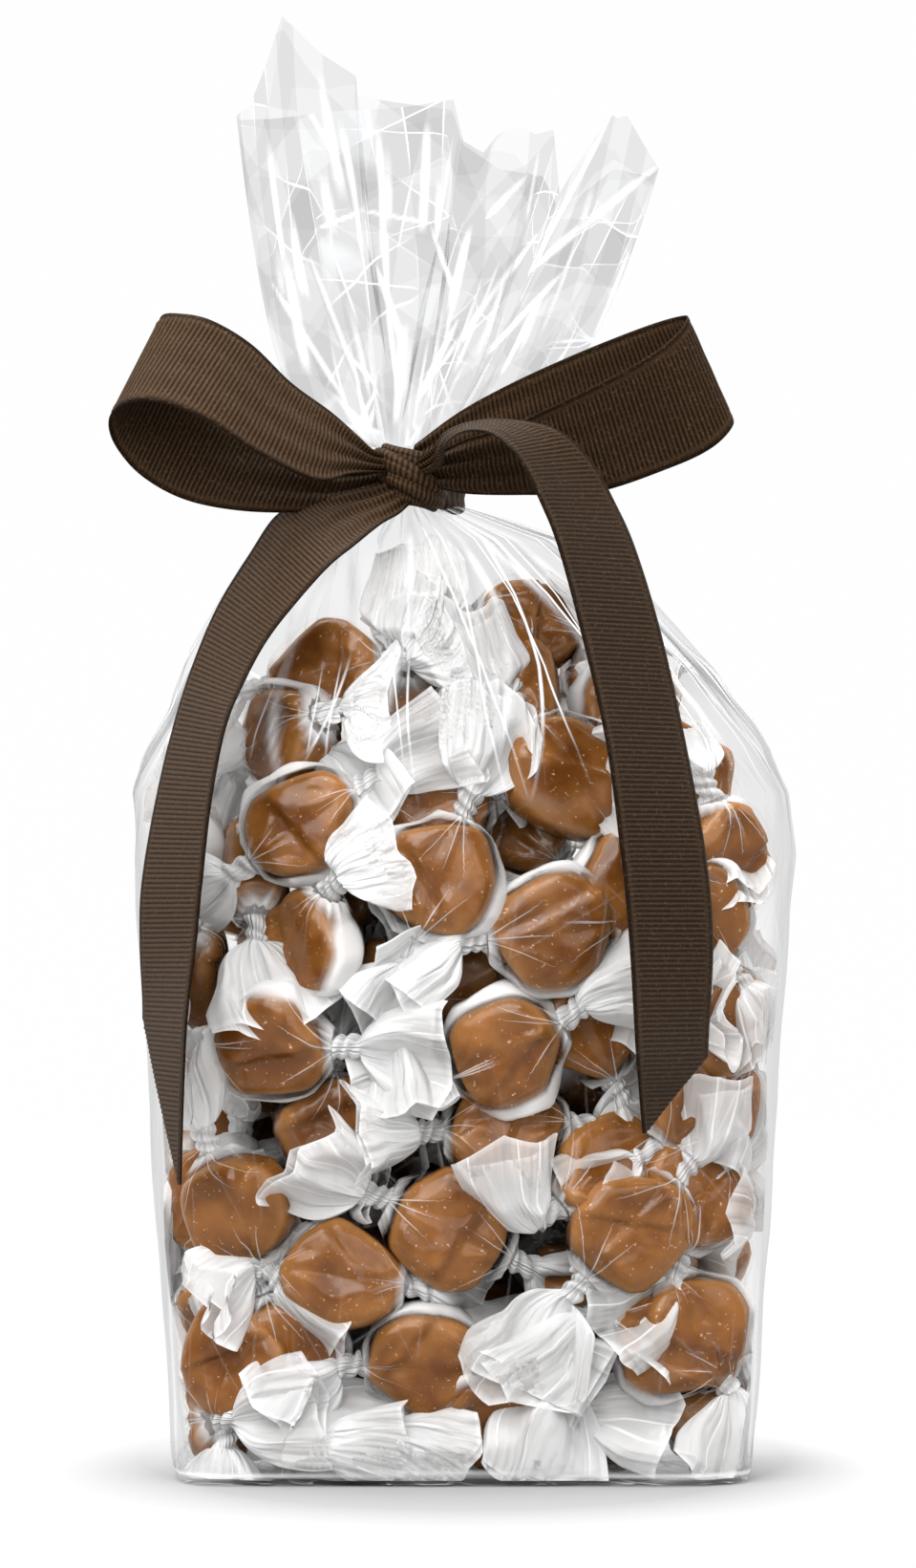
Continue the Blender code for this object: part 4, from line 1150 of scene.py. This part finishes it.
def collar_points(rows, columns):
    """A band round the neck whose section is a tall oval, creased by five zigzag folds along its height.

    Its radius grows by 4.6 sin(angle)^6 mm at the front, where the band runs out into the knot.
    """
    around = np.linspace(0, 2 * np.pi, columns, endpoint=False)[None]
    section = np.linspace(0, 2 * np.pi, rows, endpoint=False)[:, None]
    tall = 222.8 + 5.0 * np.sin(section) + 0.8 * np.sin(2 * around) - 3.2 * np.clip(np.cos(around), 0, 1)
    fold = 0.35 * zigzag(5 * section + 1.5 * np.sin(around)) + 0.12 * np.cos(2 * np.pi * 10.2 * around * 3)
    out = 9.5 + 1.6 * np.clip(np.cos(around), 0, 1) + 1.2 * np.cos(section) + fold * np.clip(np.cos(section) + 0.6, 0, 1)
    out = out + 4.6 * np.clip(-np.sin(around), 0, 1) ** 6
    return np.stack([NECK_X + out * np.cos(around), out * np.sin(around), tall + 0 * around], -1)


# Each wrap of the knot: height of its middle, its own height, how far out it lies, its downward slant.
KNOT_WRAPS = np.array(
    (
        (221.6, 10.5, -2.0, 0.0),
        (226.2, 4.2, -0.5, 0.30),
        (223.0, 4.9, 0.9, 0.50),
        (219.9, 4.5, 0.5, 0.42),
        (217.3, 3.4, -0.7, 0.24),
    )
)


def knot_points(rows, columns):
    """The knot's wraps: flat oval tubes that run round its front from side to side, slanting down.

    At t from -1 to 1 a wrap is at angle 105 t degrees round the knot. Its oval has the wrap's height and
    a quarter of it as thickness, and closes as (1 - t^8)^.5. Ribs run across it and a fold runs along it.
    """
    middle, tall, out, slant = (KNOT_WRAPS[:, k][:, None, None] for k in range(4))
    t = np.linspace(-1, 1, rows)[None, :, None]
    section = np.linspace(0, 2 * np.pi, columns, endpoint=False)[None, None]
    round_knot = np.radians(105) * t
    closing = np.sqrt(1 - t**8)
    rib = 0.5 + 0.5 * np.cos(2 * np.pi * 6.4 * round_knot / RIB + 2.4 * np.sin(section) + 3 * t * middle)
    # painted shade: the inner side of each wrap gets rib 0, the darkest tone
    rib = rib * np.clip(1.25 * np.cos(section), 0, 1)
    across = np.sin(section) * (0.5 + 0.06 * np.sin(4 * t + middle)) * tall * closing
    thick = 0.36 * np.minimum(tall, 6) * np.clip(np.cos(section), -0.3, 1) * (1 - 0.22 * np.exp(-((np.sin(section) - 0.15) ** 2) / 0.012))
    from_axis = 5.7 + out + (thick + 0.16 * rib * (np.cos(section) > 0)) * closing
    x, y = from_axis * np.sin(round_knot), -from_axis * np.cos(round_knot)
    z = middle - slant * x + across
    return np.stack([NECK_X + x, -15.6 + y, z], -1), rib + 0 * across


ROWS, COLUMNS = 40, 160
points = collar_points(ROWS, COLUMNS)
closed = np.concatenate([points, points[:1]], 0)
faces = quads_of(1, ROWS + 1, COLUMNS, True)
faces = np.where(faces >= ROWS * COLUMNS, faces - ROWS * COLUMNS, faces)
collar = make_piece("ribbon_collar", points, faces[:, ::-1], ribbon_look, {"rib": np.full(ROWS * COLUMNS, 0.35)})
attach(collar, "root")
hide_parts("ribbon_bow")

ROWS, COLUMNS = 130, 40
points, ribs = knot_points(ROWS, COLUMNS)
knot = make_piece("ribbon_knot", points, quads_of(len(points), ROWS, COLUMNS, True), ribbon_look, {"rib": ribs})
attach(knot, "root")
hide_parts("ribbon_bow")

# ================================================================ the table, the light and the camera
# A white paper sweep, two large soft lamps in front, one above, and two tall narrow ones at the sides
# that draw bright lines down the film.

sweep_look, add, link = new_material("white_sweep")
spot = add("ShaderNodeTexCoord")
grain = add("ShaderNodeTexNoise", Scale=4.0, Detail=3.0)
link(spot.outputs["Object"], grain.inputs["Vector"])
matte = add("ShaderNodeBsdfDiffuse")
parts = add("ShaderNodeSeparateXYZ")
link(spot.outputs["Object"], parts.inputs[0])
flat = add("ShaderNodeVectorMath")
flat.operation = "MULTIPLY"
flat.inputs[1].default_value = (1, 0.75, 0)
link(spot.outputs["Object"], flat.inputs[0])
from_bag = add("ShaderNodeVectorMath")
from_bag.operation = "LENGTH"
link(flat.outputs["Vector"], from_bag.inputs[0])
behind = add("ShaderNodeMath")
behind.operation = "MAXIMUM"
link(grade(add, link, parts.outputs["Y"], -0.03, 0.09), behind.inputs[0])
link(grade(add, link, from_bag.outputs["Value"], 0.063, 0.092), behind.inputs[1])
lit = add("ShaderNodeMix")
lit.data_type = "RGBA"
ends_of = [s for s in lit.inputs if s.type == "RGBA"]
link(blend_colours(add, link, grain.outputs["Fac"], (0.295, 0.295, 0.296), (0.31, 0.31, 0.311)), ends_of[0])
ends_of[1].default_value = (0.02, 0.02, 0.02, 1)
link(behind.outputs["Value"], lit.inputs["Factor"])
near_edge = grade(add, link, parts.outputs["Y"], -0.75, -0.3, 1.0, 0.0)
link(tint_towards(add, link, near_edge, next(s for s in lit.outputs if s.type == "RGBA"), (0.42, 0.42, 0.42)), matte.inputs["Color"])
bright = add("ShaderNodeEmission", Color=(1, 1, 1, 1))
in_front = grade(add, link, parts.outputs["Y"], -0.75, -0.3)
dimmed = add("ShaderNodeMath")
dimmed.operation = "MULTIPLY"
link(in_front, dimmed.inputs[0])
link(grade(add, link, behind.outputs["Value"], 0.0, 1.0, 0.0, 0.97), dimmed.inputs[1])
link(dimmed.outputs["Value"], bright.inputs["Strength"])
both = add("ShaderNodeAddShader")
link(matte.outputs["BSDF"], both.inputs[0])
link(bright.outputs["Emission"], both.inputs[1])
link(both.outputs["Shader"], add("ShaderNodeOutputMaterial").inputs["Surface"])
run = np.linspace(0, 1, 60)
bend = np.clip((run - 0.55) / 0.25, 0, 1) * np.pi / 2
profile_y = -2600 + 4200 * np.minimum(run, 0.55) / 0.55 + 900 * np.sin(bend)
profile_z = 900 * (1 - np.cos(bend)) + 3000 * np.clip((run - 0.8) / 0.2, 0, 1) - 0.3
sweep_x = np.linspace(-4000, 4000, 9)
points = np.stack([sweep_x[None] + 0 * run[:, None], profile_y[:, None] + 0 * sweep_x, profile_z[:, None] + 0 * sweep_x], -1)
sweep_look.cycles.emission_sampling = "NONE"
sweep = make_piece("sweep", points, quads_of(1, 60, 9, False)[:, ::-1], sweep_look)


def lamp(name, place, aim, size, power, colour=(1, 1, 1)):
    """A rectangular soft lamp at a place in metres, turned so that it faces the aim."""
    light = bpy.data.lights.new(name, "AREA")
    light.shape = "RECTANGLE"
    light.size, light.size_y = size
    light.energy = power
    light.color = colour
    stand = bpy.data.objects.new(name, light)
    bpy.context.scene.collection.objects.link(stand)
    way = np.array(aim, float) - np.array(place, float)
    stand.location = place
    stand.rotation_euler = (math.atan2(math.hypot(way[0], way[1]), -way[2]), 0.0, math.atan2(-way[0], way[1]))
    return stand


lamp("key", (-0.75, -1.2, 1.35), (0, 0, 0.15), (1.6, 1.6), 39)
lamp("fill", (1.2, -1.2, 1.0), (0, 0, 0.15), (1.2, 1.2), 9)
lamp("front", (0.1, -2.2, 1.2), (0, 0, 0.15), (2.4, 1.4), 22)
lamp("top", (-0.1, -0.05, 1.35), (0, 0, 0.12), (1.4, 1.2), 36)
lamp("left_edge", (-1.0, 0.3, 0.5), (0, 0, 0.2), (0.5, 1.2), 1.5)
lamp("right_edge", (1.0, 0.3, 0.5), (0, 0, 0.2), (0.5, 1.2), 4)

world = bpy.data.worlds.new("studio")
world.use_nodes = True
world.node_tree.nodes["Background"].inputs["Color"].default_value = (1.0, 1.0, 1.0, 1)
world.node_tree.nodes["Background"].inputs["Strength"].default_value = 0.45
scene = bpy.context.scene
scene.world = world
scene.view_settings.view_transform = "Standard"
scene.cycles.transparent_max_bounces = 14
scene.cycles.max_bounces = 2
scene.cycles.diffuse_bounces = 1
scene.cycles.glossy_bounces = 1
scene.cycles.caustics_reflective = False
scene.cycles.caustics_refractive = False

lens = bpy.data.cameras.new("camera")
lens.sensor_width = 36
lens.lens = 153.06
camera = bpy.data.objects.new("camera", lens)
camera.location = (-0.0012, -1.5, 0.1539)
camera.rotation_euler = (math.pi / 2, 0, 0)
scene.collection.objects.link(camera)
scene.camera = camera
